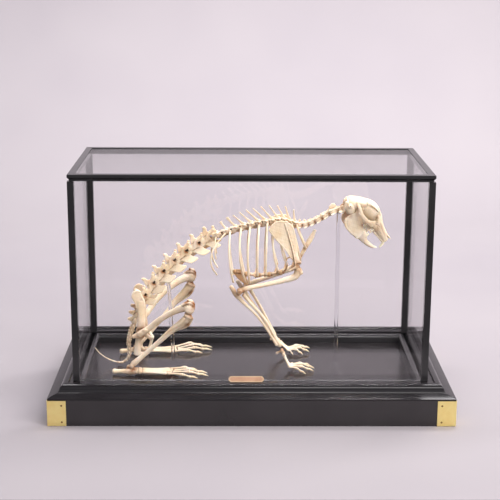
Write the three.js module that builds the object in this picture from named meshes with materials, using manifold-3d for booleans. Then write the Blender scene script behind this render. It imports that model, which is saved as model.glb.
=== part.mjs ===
// Mounted hare skeleton in its glass case: 600 mm long, millimetres, +Z up, the animal facing +X.
// The origin is at the middle of the plinth's underside. The animal's left side is towards +Y.
import * as THREE from 'three';
import { mergeVertices } from 'three/addons/utils/BufferGeometryUtils.js';
import Module from 'manifold-3d';

const wasm = await Module();
wasm.setup();

// Driving sizes of the case
const GAP = 0.3;
const DETAIL = 0.1;
const CUT = 0.42;
const PLINTH = { length: 600, width: 322, height: 40 };
const CASE = { x: -1.7, length: 528, width: 238.6, top: 366.8, post: 9.5, rail: 9.8, glass: 3, inset: 0.9 };
const MOULDING = { foot: 42.2, cove: 15, coveTop: 46.6, bead: 17, beadTop: 57.6, ledge: 55, bend: 30 };
const INNER_BEAD = { width: 11.5, shoulder: 46.5, top: 54 };
const CORNER = { reach: 28, thick: 0.7, margin: 0.6 };
const PLAQUE = { x: -8.4, y: -124, z: 55.3, length: 52.4, height: 8.8, thick: 1, lean: 0.36, notch: 2.3 };
const ROD = { radius: 2.9 };
const RODS = {
  rod_front: [[134.6, 7.7, PLINTH.height + GAP], [134.6, 9.5, 282]],
  rod_rear: [[-121.5, -6.4, PLINTH.height + GAP], [-129.7, -6, 190]],
};

// The body's midline runs a little towards +Y at the head
const MIDLINE = { start: 3, slope: 0.05 };
const midline = (x) => MIDLINE.start + MIDLINE.slope * x;
const mid = (x, z, across = 0) => [x, midline(x) + across, z];

// Joints between the vertebrae along the canal, as x and z, from the skull to the tail
const NECK_JOINTS = [[142, 291.5], [134, 290.5], [119.5, 285], [108.5, 278.3], [98, 272.4], [88, 268.4],
  [79, 266.2], [70, 266.4]];
const CHEST_JOINTS = [[70, 266.4], [62, 268.8], [54, 271.8], [46, 273.4], [37, 272.6], [27, 270.6],
  [16.4, 269.8], [6, 267.4], [-6, 265.1], [-17.6, 262.6], [-32, 258.4], [-46, 253.6], [-63, 248.3]];
const LOIN_JOINTS = [[-63, 248.3], [-81, 238.5], [-100.4, 226.2], [-119.2, 211.4], [-136.1, 194.1],
  [-151.6, 175.6], [-165, 155.5], [-176, 140]];
const RUMP_JOINTS = [[-176, 140], [-181, 131], [-184.6, 121.5], [-187, 111]];
const TAIL_JOINTS = [[-187, 111], [-189.6, 102.5], [-191.4, 94], [-192.4, 86], [-192.4, 78.4], [-192, 71],
  [-191.4, 64], [-191.6, 57.4], [-194, 51.4], [-198.4, 46.8], [-204, 44.4], [-210, 44.6]];
const TAIL_TIP = [[-216.6, 46.6], [-224.4, 50], [-232.2, 55], [-239.2, 61], [-245.4, 69.4]];

// Pieces are made larger by this much when they serve as cutters for a neighbour
let swell = 0;

const vector = (p) => new THREE.Vector3(p[0], p[1], p[2]);
const mix = (a, b, t) => a + (b - a) * t;
const blend = (p, q, t) => p.map((value, i) => mix(value, q[i], t));

// Solids from three.js geometry

function signedVolume(positions, indices) {
  let volume = 0;
  const at = (i) => new THREE.Vector3().fromArray(positions, 3 * i);
  for (let i = 0; i < indices.length; i += 3) {
    volume += at(indices[i]).dot(at(indices[i + 1]).cross(at(indices[i + 2])));
  }
  return volume / 6;
}

function solidFromArrays(positions, indices) {
  const triVerts = Uint32Array.from(indices);
  if (signedVolume(positions, indices) < 0) {
    for (let i = 0; i < triVerts.length; i += 3) {
      [triVerts[i], triVerts[i + 1]] = [triVerts[i + 1], triVerts[i]];
    }
  }
  const mesh = new wasm.Mesh({ numProp: 3, vertProperties: Float32Array.from(positions), triVerts });
  return new wasm.Manifold(mesh);
}

function solidFromGeometry(geometry) {
  geometry.deleteAttribute('normal');
  geometry.deleteAttribute('uv');
  const merged = mergeVertices(geometry, 1e-4);
  return solidFromArrays(merged.attributes.position.array, merged.index.array);
}

function largest(solid) {
  return solid.decompose().sort((a, b) => b.volume() - a.volume())[0];
}

function geometryOf(solid) {
  const mesh = largest(largest(solid).simplify(DETAIL)).getMesh();
  const geometry = new THREE.BufferGeometry();
  geometry.setAttribute('position', new THREE.BufferAttribute(Float32Array.from(mesh.vertProperties), 3));
  geometry.setIndex(new THREE.BufferAttribute(Uint32Array.from(mesh.triVerts), 1));
  geometry.computeVertexNormals();
  return geometry;
}

const join = (pieces) => pieces.flat(4).reduce((sum, piece) => sum.add(piece));
const cut = (solid, ...cutters) => cutters.flat(4).reduce((rest, cutter) => rest.subtract(cutter), solid);

// The same bone made larger by a cut's width, to cut its neighbours clear of it
function clearance(make) {
  swell = CUT;
  const solid = join([make()]);
  swell = 0;
  return solid;
}

// A closed tube through stations [x, y, z, half width, half depth]. The width lies along the direction
// called across. steps is the number of rings for each span; blunt ends are flat.
function sweep(stations, { sides = 5, steps = 2, across = [0, 1, 0], blunt = false } = {}) {
  const curve = new THREE.CatmullRomCurve3(stations.map(vector), false, 'centripetal');
  const spans = stations.length - 1;
  const rings = spans * steps + 1;
  const positions = [];
  const indices = [];
  const lateral = vector(across).normalize();
  for (let ring = 0; ring < rings; ring += 1) {
    const t = ring / (rings - 1);
    const from = Math.min(Math.floor(t * spans + 1e-9), spans - 1);
    const local = t * spans - from;
    const ease = steps > 1 ? local * local * (3 - 2 * local) : local;
    const wide = mix(stations[from][3], stations[from + 1][3], ease) + swell;
    const deep = mix(stations[from][4] ?? stations[from][3],
      stations[from + 1][4] ?? stations[from + 1][3], ease) + swell;
    const along = curve.getTangent(t);
    const first = lateral.clone().addScaledVector(along, -lateral.dot(along)).normalize();
    const second = along.clone().cross(first);
    const centre = curve.getPoint(t);
    if (ring === 0 || ring === rings - 1) {
      centre.addScaledVector(along, ring === 0 ? -swell : swell);
    }
    for (let side = 0; side < sides; side += 1) {
      const angle = (2 * Math.PI * (side + 0.5)) / sides;
      const point = centre.clone().addScaledVector(first, wide * Math.cos(angle));
      point.addScaledVector(second, deep * Math.sin(angle));
      positions.push(...point.toArray());
    }
    for (let side = 0; ring > 0 && side < sides; side += 1) {
      const next = (side + 1) % sides;
      const [a, b] = [(ring - 1) * sides + side, (ring - 1) * sides + next];
      indices.push(a, b, b + sides, a, b + sides, a + sides);
    }
  }
  for (const [t, ring, outward] of [[0, 0, -1], [1, rings - 1, 1]]) {
    const end = stations[t * spans];
    const dome = blunt ? swell : 0.6 * Math.min(end[3], end[4] ?? end[3]) + swell;
    const pole = curve.getPoint(t).addScaledVector(curve.getTangent(t), outward * dome);
    const poleIndex = positions.length / 3;
    positions.push(...pole.toArray());
    for (let side = 0; side < sides; side += 1) {
      const [a, b] = [ring * sides + side, ring * sides + ((side + 1) % sides)];
      indices.push(...(outward < 0 ? [poleIndex, b, a] : [poleIndex, a, b]));
    }
  }
  return solidFromArrays(positions, indices);
}

// An ellipsoid with half sizes along x, y and z, turned about Y by turn
function ball(centre, half, { wide = 7, high = 5, turn = 0 } = {}) {
  const sizes = Array.isArray(half) ? half : [half, half, half];
  const geometry = new THREE.SphereGeometry(1, wide, high);
  geometry.rotateX(Math.PI / 2);
  geometry.scale(sizes[0] + swell, sizes[1] + swell, sizes[2] + swell);
  geometry.rotateY(turn);
  geometry.translate(...centre);
  return solidFromGeometry(geometry);
}

// A flat plate: outline points in the plane of two axes through an origin, thick across it
function plate(outline, thick, origin, uAxis, vAxis) {
  const middle = outline.reduce((sum, p) => [sum[0] + p[0] / outline.length, sum[1] + p[1] / outline.length],
    [0, 0]);
  const points = outline.map(([u, v]) => {
    const away = new THREE.Vector2(u - middle[0], v - middle[1]);
    away.setLength(away.length() + swell * 1.2);
    return new THREE.Vector2(middle[0] + away.x, middle[1] + away.y);
  });
  const depth = thick + 2 * swell;
  const geometry = new THREE.ExtrudeGeometry(new THREE.Shape(points), { depth, bevelEnabled: false });
  geometry.translate(0, 0, -depth / 2);
  const u = vector(uAxis).normalize();
  const v = vector(vAxis).normalize();
  const normal = u.clone().cross(v);
  const matrix = new THREE.Matrix4().makeBasis(u, v, normal).setPosition(vector(origin));
  geometry.applyMatrix4(matrix);
  return solidFromGeometry(geometry);
}

function block(from, to) {
  const geometry = new THREE.BoxGeometry(to[0] - from[0], to[1] - from[1], to[2] - from[2]);
  geometry.translate((from[0] + to[0]) / 2, (from[1] + to[1]) / 2, (from[2] + to[2]) / 2);
  return solidFromGeometry(geometry);
}

// Everything on one side of the body's midline and half a gap past it
function halfSpace(side) {
  const reach = 400;
  const geometry = new THREE.BoxGeometry(2 * reach, reach, 2 * reach);
  geometry.translate(0, side * (reach / 2 - GAP / 2), 0);
  geometry.rotateZ(Math.atan(MIDLINE.slope));
  geometry.translate(0, MIDLINE.start, 0);
  return solidFromGeometry(geometry);
}

// Skull and lower jaw: along runs from the back of the skull to the nose, up towards its roof
const HEAD = { x: 141, z: 291, pitch: 0.733 };
const headPoint = (along, across, up) => {
  const x = HEAD.x + along * Math.cos(HEAD.pitch) + up * Math.sin(HEAD.pitch);
  const z = HEAD.z - along * Math.sin(HEAD.pitch) + up * Math.cos(HEAD.pitch);
  return mid(x, z, across);
};
const headStation = ([along, across, up, wide, deep]) => [...headPoint(along, across, up), wide, deep];
const headSweep = (stations, options) => sweep(stations.map(headStation), options);
const HEAD_ALONG = [Math.cos(HEAD.pitch), 0, -Math.sin(HEAD.pitch)];
const HEAD_UP = [Math.sin(HEAD.pitch), 0, Math.cos(HEAD.pitch)];
const CHEEK_TEETH = { count: 4, pitch: 4.1, width: 4.6, length: 3.6 };

function skullSide(side) {
  const arch = headSweep([[51, side * 10, 15, 1.4, 5], [46, side * 19.5, 13, 1.4, 5],
    [36, side * 22.6, 11.6, 1.2, 3.4], [24, side * 22.4, 14, 1.2, 3.2], [15, side * 19.5, 19.4, 1.3, 2.4],
    [9, side * 14, 21, 2, 2.4]], { steps: 1 });
  const brow = headSweep([[18.5, side * 14.6, 31.4, 0.8, 0.7], [26, side * 15.6, 35, 3.4, 0.8],
    [35, side * 14, 36.4, 5, 0.9], [43, side * 12.4, 34.4, 1.6, 0.8]], { steps: 1 });
  const bulla = ball(headPoint(6.9, side * 11, 8.2), [8, 6.6, 10.2]);
  const meatus = headSweep([[6, side * 12, 9.6, 3.6, 3.6], [3, side * 18, 11.2, 2.6, 2.6]],
    { steps: 1, across: HEAD_UP });
  const condyle = ball(headPoint(-2.4, side * 4.4, 1.4), [3, 3, 3.8], { wide: 6, high: 4 });
  const eyeWall = ball(headPoint(33, side * 9.6, 26), [14.2, 7.6, 9.2], { turn: HEAD.pitch });
  const pterygoid = headSweep([[38, side * 4.6, 8, 0.9, 3.6], [26, side * 4.8, 8.6, 0.9, 4.4],
    [20, side * 4.2, 8, 0.8, 2]], { steps: 1, sides: 4 });
  const incisor = headSweep([[79, side * 2.3, 7, 2.1, 2.2], [84.6, side * 2.3, 1.4, 2.1, 1.9],
    [86, side * 2.3, -8, 1.9, 1]], { steps: 1 });
  const teeth = [];
  for (let i = 0; i < CHEEK_TEETH.count; i += 1) {
    const along = 43.5 + i * CHEEK_TEETH.pitch;
    const half = CHEEK_TEETH.length / 2;
    const outline = [[along - half, 7.5], [along - half, 0.6], [along + half, 1.4], [along + half, 8]];
    teeth.push(plate(outline, CHEEK_TEETH.width, mid(HEAD.x, HEAD.z, side * 8.6), HEAD_ALONG, HEAD_UP));
  }
  return [arch, brow, bulla, meatus, condyle, eyeWall, pterygoid, incisor, teeth];
}

function skull() {
  const cranium = headSweep([[-3.4, 0, 9.6, 7.5, 4.4], [-1, 0, 12, 12.6, 9.6], [7, 0, 16, 16, 12.8],
    [18, 0, 20.8, 16, 14], [27, 0, 23.8, 14.6, 14.2], [37, 0, 23.6, 13.4, 14.6], [46, 0, 20.6, 12, 14.4],
    [52.5, 0, 17.6, 12.2, 12.8], [63, 0, 13.8, 10.6, 10], [74, 0, 10.2, 9, 8.6], [83, 0, 7.4, 6, 6.6]],
  { sides: 10, steps: 1 });
  const nasals = headSweep([[48, 0, 31.2, 8.6, 1.8], [60, 0, 23.6, 8.6, 1.6], [74, 0, 17.2, 7.4, 1.4],
    [84, 0, 14.8, 5, 0.9], [88.8, 0, 14, 2.4, 0.5]], { steps: 1 });
  const forehead = headSweep([[49, 0, 31.6, 9, 2], [40, 0, 36.4, 10, 2], [30, 0, 37.6, 10, 1.8],
    [20, 0, 34.4, 10, 1.6]], { steps: 1 });
  const crest = headSweep([[-6.6, 0, 11, 6.4, 1.7], [-5, 0, 16, 5, 1.6], [2, 0, 25.4, 1.6, 1.2],
    [12, 0, 31, 1.4, 0.9]], { steps: 1 });
  return join([cranium, nasals, forehead, crest, skullSide(-1), skullSide(1)]);
}

// The left branch of the jaw stands a little further back
const JAW_SKEW = 2.6;

function jawSide(side) {
  const back = side > 0 ? JAW_SKEW : 0;
  const outline = [[17, 13.6], [22.4, 13.8], [29, 8], [37.6, 1.6], [45, -1.4], [47, -19.6], [36, -18],
    [26, -18.4], [16.8, -14], [10.8, -5], [13.4, 2.4], [15.4, 7]].map(([u, v]) => [u - back, v]);
  const ramus = plate(outline, 1.7, mid(HEAD.x, HEAD.z, side * 14.6), HEAD_ALONG, HEAD_UP);
  const rim = headSweep([[13 - back, side * 15, -9, 1.3, 1.8], [20 - back, side * 15, -16, 1.4, 2],
    [32, side * 14.6, -18.2, 1.6, 1.8], [45, side * 12.6, -18.2, 1.8, 2.2]], { steps: 1 });
  const condyle = headSweep([[18, side * 14.6, 10, 1.3, 2], [16.2, side * 14.2, 16, 2.2, 3.4]],
    { steps: 1 });
  const body = headSweep([[41, side * 13.4, -10.2, 2, 8.6], [51, side * 10, -11.4, 2.6, 8.4],
    [60, side * 6.2, -15, 2.6, 4.8], [70, side * 3.2, -15.2, 2.6, 3.4],
    [77, side * 2.2, -13.8, 2.1, 2.4]], { steps: 1 });
  const incisor = headSweep([[75, side * 2.2, -14, 2, 1.8], [79, side * 2.2, -12.8, 1.9, 1.6],
    [82.4, side * 2.2, -10.4, 1.7, 0.8]], { steps: 1 });
  const teeth = [];
  for (let i = 0; i < CHEEK_TEETH.count; i += 1) {
    const along = 42.6 + i * CHEEK_TEETH.pitch;
    const half = CHEEK_TEETH.length / 2;
    const outlineTooth = [[along - half, -8], [along + half, -8], [along + half, -1.2 - 0.3 * i],
      [along - half, 0 - 0.3 * i]];
    teeth.push(plate(outlineTooth, 3.6, mid(HEAD.x, HEAD.z, side * (11.8 - 0.5 * i)), HEAD_ALONG, HEAD_UP));
  }
  return [ramus, rim, condyle, body, incisor, teeth];
}

function jaw() {
  const chin = headSweep([[64, 0, -16, 5.6, 3], [75, 0, -14.2, 3.6, 2.4]], { steps: 1 });
  return join([chin, jawSide(-1), jawSide(1)]);
}

// Vertebrae: one is made between two joints, with directions along, across and up of its own
function frameBetween(joints, index) {
  const [tailward, headward] = [joints[index + 1], joints[index]];
  const along = new THREE.Vector2(headward[0] - tailward[0], headward[1] - tailward[1]);
  const length = along.length();
  along.normalize();
  const place = (forward, across, up) => {
    const x = (headward[0] + tailward[0]) / 2 + forward * along.x - up * along.y;
    const z = (headward[1] + tailward[1]) / 2 + forward * along.y + up * along.x;
    return mid(x, z, across);
  };
  const upward = [-along.y, 0, along.x];
  return { length, place, upward, along: [along.x, 0, along.y] };
}

const BODY_DROP = { neck: 3.4, chest: 4.2, loin: 5.6, rump: 4.6 };

// The bodies of a run of vertebrae, waisted in the middle of each
function centra(joints, drop, wideAt, deepAt, { sides = 5 } = {}) {
  const stations = [];
  for (let i = 0; i < joints.length - 1; i += 1) {
    const { length, place } = frameBetween(joints, i);
    const half = length / 2 - (i === 0 ? GAP / 2 : 0);
    const t = i / (joints.length - 1);
    if (i === 0) {
      stations.push([...place(half, 0, -drop), wideAt(t), deepAt(t)]);
    }
    stations.push([...place(0, 0, -drop + 0.4), 0.8 * wideAt(t), 0.78 * deepAt(t)]);
    const end = i === joints.length - 2 ? length / 2 - GAP / 2 : length / 2;
    stations.push([...place(-end, 0, -drop), wideAt(t), deepAt(t)]);
  }
  return sweep(stations, { sides, steps: 1, blunt: true });
}

function neckVertebra(index) {
  const { length, place, upward } = frameBetween(NECK_JOINTS, index);
  const last = index / (NECK_JOINTS.length - 2);
  const half = 0.5 * length - GAP;
  const arch = sweep([[...place(half, 0, 1), 5.2, 2.2], [...place(-half, 0, 1), 5.8, 2.4]], { steps: 1 });
  const wing = index === 0 ? 12.5 : 8.6;
  const wings = [-1, 1].map((side) => sweep([[...place(0.2 * length, side * 3.5, -2.6), 3.2, 2],
    [...place(-0.35 * length, side * wing, -3.4 - last), 2.4, 1.2]],
    { steps: 1, sides: 4, across: upward }));
  const [rise, broad] = index === 1 ? [9.4, 5] : [3.6 + 4 * last * last, 1.3];
  const spine = sweep([[...place(0, 0, 0), 0.9, broad],
    [...place(index === 1 ? 2 : -0.1 * length, 0, rise), 0.8, broad]], { steps: 1, sides: 4 });
  return [arch, wings, spine];
}

function neck() {
  const pieces = [centra(NECK_JOINTS, BODY_DROP.neck, () => 4.8, () => 3.5)];
  for (let i = 0; i < NECK_JOINTS.length - 1; i += 1) {
    pieces.push(neckVertebra(i));
  }
  return join(pieces);
}

// Tips of the tall spines over the chest, from the neck backwards
const CHEST_TIPS = [[64.6, 290], [51.6, 295], [39.3, 296.3], [26, 296.9], [13, 295.6], [0.6, 292.6],
  [-9.5, 290], [-20.1, 286.6], [-29.5, 281.8], [-38.8, 278], [-48.4, 271.5], [-60.9, 265]];

function chestArches() {
  const stations = [];
  const pieces = [];
  CHEST_TIPS.forEach(([x, z], i) => {
    const { length, place, along } = frameBetween(CHEST_JOINTS, i);
    const ends = [i === 0 ? length / 2 - GAP / 2 : length / 2,
      i === CHEST_TIPS.length - 1 ? length / 2 - GAP / 2 : length / 2];
    if (i === 0) {
      stations.push([...place(ends[0], 0, 2.4), 5.4, 2]);
    }
    stations.push([...place(0, 0, 2.8), 3.8, 2.2]);
    stations.push([...place(-ends[1], 0, 2.4), 5.2, 2]);
    const broad = i < 9 ? 1.2 : 2.6;
    const foot = place(0.1 * length, 0, 2.4);
    pieces.push(sweep([[...foot, 1, 3.2], [...blend(foot, mid(x, z), 0.4), 0.8, 1.8],
      [...mid(x, z), 1, broad]], { steps: 1, sides: 4 }));
    for (const side of [-1, 1]) {
      pieces.push(sweep([[...place(0.1 * length, side * 2.6, 2.4), 2.4, 1.8],
        [...place(0.1 * length, side * 8.2, 2.6), 1.9, 1.5]], { steps: 1, sides: 4, across: along }));
    }
  });
  pieces.push(sweep(stations, { steps: 1, blunt: true }));
  return join(pieces);
}

// Ribs of one side: root joint, then the widest point and the end as x, distance from the midline and z
const RIBS = [
  { bow: [76, 14, 248], end: [84.5, 4.2, 229] },
  { bow: [69, 19, 240], end: [76, 7, 209] },
  { bow: [58, 20, 240], end: [67, 14, 211] },
  { bow: [45, 22, 238], end: [55, 18, 206] },
  { bow: [33, 24.4, 235], end: [41, 21, 198] },
  { bow: [22.2, 28.4, 232], end: [21.5, 21, 192] },
  { bow: [9, 31, 229], end: [9, 22, 190] },
  { bow: [-6, 31.5, 222], end: [-3, 15, 176] },
  { bow: [-18, 31.5, 222], end: [-9, 16, 178] },
  { bow: [-34, 30, 220], end: [-28, 22, 180] },
  { bow: [-62, 27, 224], end: [-53, 22, 192] },
  { bow: [-56.6, 18, 236], end: [-54.6, 19, 216] },
];
const RIB = { wide: 1.2, deep: 1.8 };

// Cartilages that run from the rib ends to the breastbone, for the true ribs
const CARTILAGES = [
  { rib: 2, meet: [65, 4.6, 199] },
  { rib: 3, meet: [52, 4.6, 193] },
  { rib: 4, meet: [37, 4.6, 188.5] },
  { rib: 5, meet: [20, 4.6, 186] },
  { rib: 6, meet: [4, 4.6, 186] },
];

// Points along the even curve that leaves one point, passes a second and ends at a third
function arc(from, through, to, count) {
  const pull = through.map((value, i) => 2 * value - 0.5 * (from[i] + to[i]));
  return Array.from({ length: count }, (_, i) => {
    const t = i / (count - 1);
    return blend(blend(from, pull, t), blend(pull, to, t), t);
  });
}

const chestBodies = () => centra(CHEST_JOINTS, BODY_DROP.chest, () => 4.8, () => 3.8);

function ribSide(side) {
  const pieces = [];
  RIBS.forEach(({ bow, end }, i) => {
    const { length, place } = frameBetween(CHEST_JOINTS, i);
    const scale = i === 11 ? 0.75 : 1;
    const back = i < 10 ? 0.2 * Math.max(0, i - 4) : 0.4;
    const head = place((0.5 - back) * length - 0.6, side * 3.4, -3.4);
    const neckOfRib = place((0.42 - back) * length, side * 8.5, -0.5);
    const line = arc(neckOfRib, mid(bow[0], bow[2], side * bow[1]), mid(end[0], end[2], side * end[1]), 5);
    const stations = line.map((point) => [...point, RIB.wide, RIB.deep * scale]);
    pieces.push(sweep([[...head, 1.5, 1.5], ...stations], { sides: 4, steps: 1 }));
  });
  CARTILAGES.forEach(({ rib, meet }) => {
    const { end } = RIBS[rib];
    const from = mid(end[0], end[2], side * end[1]);
    const to = mid(meet[0], meet[2], side * meet[1]);
    const sag = blend(from, to, 0.5);
    sag[2] -= 2.5;
    pieces.push(sweep([[...from, 1.3, 1.7], [...sag, 1.3, 1.6], [...to, 1.5, 1.5]], { sides: 4, steps: 1 }));
  });
  return join([chestBodies(), pieces]).subtract(halfSpace(-side));
}

function breastbone() {
  const blade = sweep([[...mid(98.6, 256.5), 0.9, 2.6], [...mid(92, 243), 1.2, 4.4],
    [...mid(84, 229), 2, 3.6], [...mid(76, 213), 2.4, 2.8], [...mid(68.5, 200), 2.8, 2.6],
    [...mid(56, 192), 3.2, 2.4], [...mid(46, 188.6), 4, 4.2], [...mid(38, 187), 3.2, 3],
    [...mid(28, 185.8), 4, 4.2], [...mid(20, 185.4), 3.2, 3], [...mid(10, 185.2), 4, 4.2],
    [...mid(2, 186), 3.2, 3], [...mid(-8, 187), 4, 4], [...mid(-20, 189.6), 3, 3],
    [...mid(-27, 191.6), 3.4, 2.6]], { sides: 6, steps: 1 });
  const flap = plate([[-31, 193.4], [-21, 195.4], [-14, 192.6], [-4.4, 174], [-7.2, 168.4], [-21.4, 180]],
    1.1, mid(0, 0, -1.4), [1, MIDLINE.slope, 0], [0, 0, 1]);
  return join([blade, flap]);
}

// Loins: seven vertebrae with tall, forward leaning spines and long side processes
const LOIN = { spine: 16.6, lean: 7.4, sideReach: 24 };

function loinVertebra(index) {
  const { length, place, along } = frameBetween(LOIN_JOINTS, index);
  const t = index / (LOIN_JOINTS.length - 2);
  const { spine: tall, lean } = LOIN;
  const arch = sweep([[...place(0.34 * length, 0, 0.6), 4.8, 3.8],
    [...place(-0.3 * length, 0, 0.6), 4.6, 3.4]], { steps: 1 });
  const k = length / 24;
  const spine = sweep([[...place(5 * k, 0, 0), 1.2, 7.8 * k], [...place(7 * k, 0, 0.55 * tall), 1, 3.6],
    [...place(lean, 0, tall), 1.6, 3.4]], { steps: 1, sides: 4 });
  const reach = LOIN.sideReach * mix(0.5, 1, Math.sin(Math.PI * mix(0.12, 0.86, t)));
  const pairs = [-1, 1].map((side) => [
    sweep([[...place(4 * k, side * 4.6, 0.6), 1.8, 4], [...place(13 * k, side * 5.6, 5), 1.6, 2.4],
      [...place(22.4 * k, side * 6.2, 8.4), 1.6, 2.4]], { steps: 1, sides: 4 }),
    sweep([[...place(1.5 * k, side * 4, -5), 6.4 * k, 1.2],
      [...place(8 * k, side * 0.6 * reach, -11), 6 * k, 1],
      [...place(16 * k, side * reach, -17), 5.2 * k, 0.9]], { steps: 1, sides: 4, across: along }),
  ]);
  return [arch, spine, pairs];
}

function loins() {
  const pieces = [centra(LOIN_JOINTS, BODY_DROP.loin, () => 6.4, () => 5)];
  for (let i = 0; i < LOIN_JOINTS.length - 1; i += 1) {
    pieces.push(loinVertebra(i));
  }
  return join(pieces);
}

function rump() {
  const pieces = [centra(RUMP_JOINTS, BODY_DROP.rump, (t) => mix(8.4, 5.4, t), (t) => mix(5, 3.6, t))];
  for (let i = 0; i < RUMP_JOINTS.length - 1; i += 1) {
    const { place, along, length } = frameBetween(RUMP_JOINTS, i);
    const height = mix(9.5, 6.5, i / 2);
    pieces.push(sweep([[...place(0.45 * length, 0, -2), 4.4, 3], [...place(-0.45 * length, 0, -2), 4, 3]],
      { steps: 1 }));
    pieces.push(sweep([[...place(0, 0, 0), 1.1, 0.42 * length],
      [...place(-1.5, 0, height), 1.3, 0.28 * length]], { steps: 1, sides: 5 }));
    for (const side of [-1, 1]) {
      const reach = [13.2, 10, 8][i];
      pieces.push(sweep([[...place(0, side * 4, -4.4), 0.5 * length, 2.6],
        [...place(0, side * reach, -4), 0.42 * length, i === 0 ? 4.4 : 1.6]],
        { steps: 1, sides: 6, across: along }));
    }
  }
  return join(pieces);
}

function tail() {
  const pieces = [];
  const count = TAIL_JOINTS.length - 1;
  const stations = [];
  for (let i = 0; i < count; i += 1) {
    const { length, place } = frameBetween(TAIL_JOINTS, i);
    const size = mix(4.2, 2.1, i / count);
    if (i === 0) {
      stations.push([...place(length / 2 - GAP, 0, -BODY_DROP.rump), size, size]);
    }
    const drop = mix(BODY_DROP.rump, 0, Math.min(1, i / 4));
    stations.push([...place(0, 0, -drop), 0.66 * size, 0.66 * size]);
    stations.push([...place(-length / 2, 0, -drop), size, 0.92 * size]);
    if (i < 9) {
      const reach = 8.6 - 0.6 * i;
      for (const side of [-1, 1]) {
        pieces.push(sweep([[...place(1, 0, -drop), 2, 1.2], [...place(-0.6, side * reach, -drop), 1.7, 1]],
          { steps: 1, sides: 4, across: [0, 0, 1] }));
      }
      pieces.push(sweep([[...place(0, 0, -drop), 1, 2.2],
        [...place(-0.8, 0, 5.4 - 0.4 * i - drop), 0.8, 1.3]], { steps: 1, sides: 4 }));
    }
  }
  TAIL_TIP.forEach(([x, z], i) => stations.push([...mid(x, z), mix(1.3, 0.45, i / (TAIL_TIP.length - 1))]));
  pieces.push(sweep(stations, { sides: 5, steps: 1 }));
  return join(pieces);
}

// Hip bones: the joint with the thigh sits this far from the midline
const HIP = { x: -171, z: 100, across: 22 };

function hipSide(side) {
  const wing = plate([[-177, 167.4], [-183.6, 163], [-185, 156], [-180.4, 146], [-177.8, 138],
    [-164.6, 138], [-164.6, 147], [-168.4, 156], [-171, 164]], 2.4, mid(0, 0, side * 17.6),
    [1, MIDLINE.slope, 0], [0, 0, 1]);
  const shaft = sweep([[...mid(-171.6, 150, side * 17.6), 2, 7], [...mid(-171, 128, side * 17.8), 3, 6],
    [...mid(-171, 112, side * 18.4), 4, 6.6], [...mid(-172, 99, side * 18), 5.4, 8.6],
    [...mid(-176, 86, side * 17), 3.6, 5], [...mid(-177.4, 72, side * 16), 3.4, 6],
    [...mid(-178, 63.5, side * 15.5), 4, 6.4]], { steps: 1 });
  const pubis = sweep([[...mid(-168, 97, side * 16), 3, 4], [...mid(-160, 89, side * 10), 2.2, 2.6],
    [...mid(-156, 84, side * 2), 2.2, 4.4]], { steps: 1 });
  const ramus = sweep([[...mid(-175, 64, side * 14), 3, 3], [...mid(-167, 61, side * 7), 2, 2.4],
    [...mid(-162, 64, side * 2), 2, 4]], { steps: 1 });
  return [wing, shaft, pubis, ramus];
}

function pelvis() {
  const seam = sweep([[...mid(-156, 85), 2.6, 3], [...mid(-158.4, 74), 2, 2.4],
    [...mid(-162, 64), 2.6, 3]], { steps: 1 });
  return join([seam, hipSide(-1), hipSide(1)]);
}

// Legs: landmarks of each side, near is the animal's right side towards -Y
const HIND = {
  right: {
    hip: mid(HIP.x, HIP.z, -HIP.across - 2),
    trochanter: [-179.5, -37, 96.5],
    shaft: [[-158, -39.5, 111], [-141.7, -48, 127], [-122.2, -58, 142], [-104, -67, 152.4]],
    knee: [-95, -72, 154],
    shin: [[-95.5, -71.5, 139.5], [-104, -68.5, 130.4], [-118, -63.5, 119], [-140, -58, 97.3],
      [-163.8, -53.5, 74.4], [-182, -51, 57.6]],
    heel: [-212, -50, 45.6],
    ankle: [-184.5, -50.4, 50.8],
    turn: 0.02,
    toes: [
      { across: -8.5, reach: 46, tip: [-82, -74, 42.4], knuckle: [-104, -71.5, 47.4] },
      { across: -3, reach: 54, tip: [-66, -64, 42.6], knuckle: [-93, -63.5, 49.4] },
      { across: 3.2, reach: 56, tip: [-68, -52, 43], knuckle: [-93.5, -54, 49.8] },
      { across: 8.6, reach: 50, tip: [-84, -40, 43.4], knuckle: [-102, -43.5, 49.6] },
    ],
    side: -1,
  },
  left: {
    hip: mid(HIP.x, HIP.z, HIP.across + 2),
    trochanter: [-180, 30.5, 99],
    shaft: [[-165.7, 38, 113.5], [-154, 46, 128.5], [-133.6, 58, 146.6], [-112, 70, 159]],
    knee: [-98, 76, 162.5],
    shin: [[-97.5, 76, 148], [-105.4, 74, 138.5], [-121.7, 71.5, 122.4], [-140, 65, 100],
      [-162, 56.4, 75.6], [-180, 51, 57.6]],
    heel: [-209.5, 43.4, 45.6],
    ankle: [-182, 48.4, 50.8],
    turn: 0.1,
    toes: [
      { across: 8.5, reach: 46, tip: [-76, 77, 43.4], knuckle: [-99, 72.4, 50.4] },
      { across: 3, reach: 54, tip: [-63, 68, 44], knuckle: [-92, 64.4, 50.6] },
      { across: -3.2, reach: 54, tip: [-63, 57, 43], knuckle: [-90, 54.6, 48.4] },
      { across: -8.6, reach: 44, tip: [-78, 43, 42.4], knuckle: [-100, 44.6, 47] },
    ],
    side: 1,
  },
};

const station = (point, wide, deep) => [...point, wide, deep ?? wide];
const shift = (point, by) => point.map((value, i) => value + by[i]);

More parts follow.
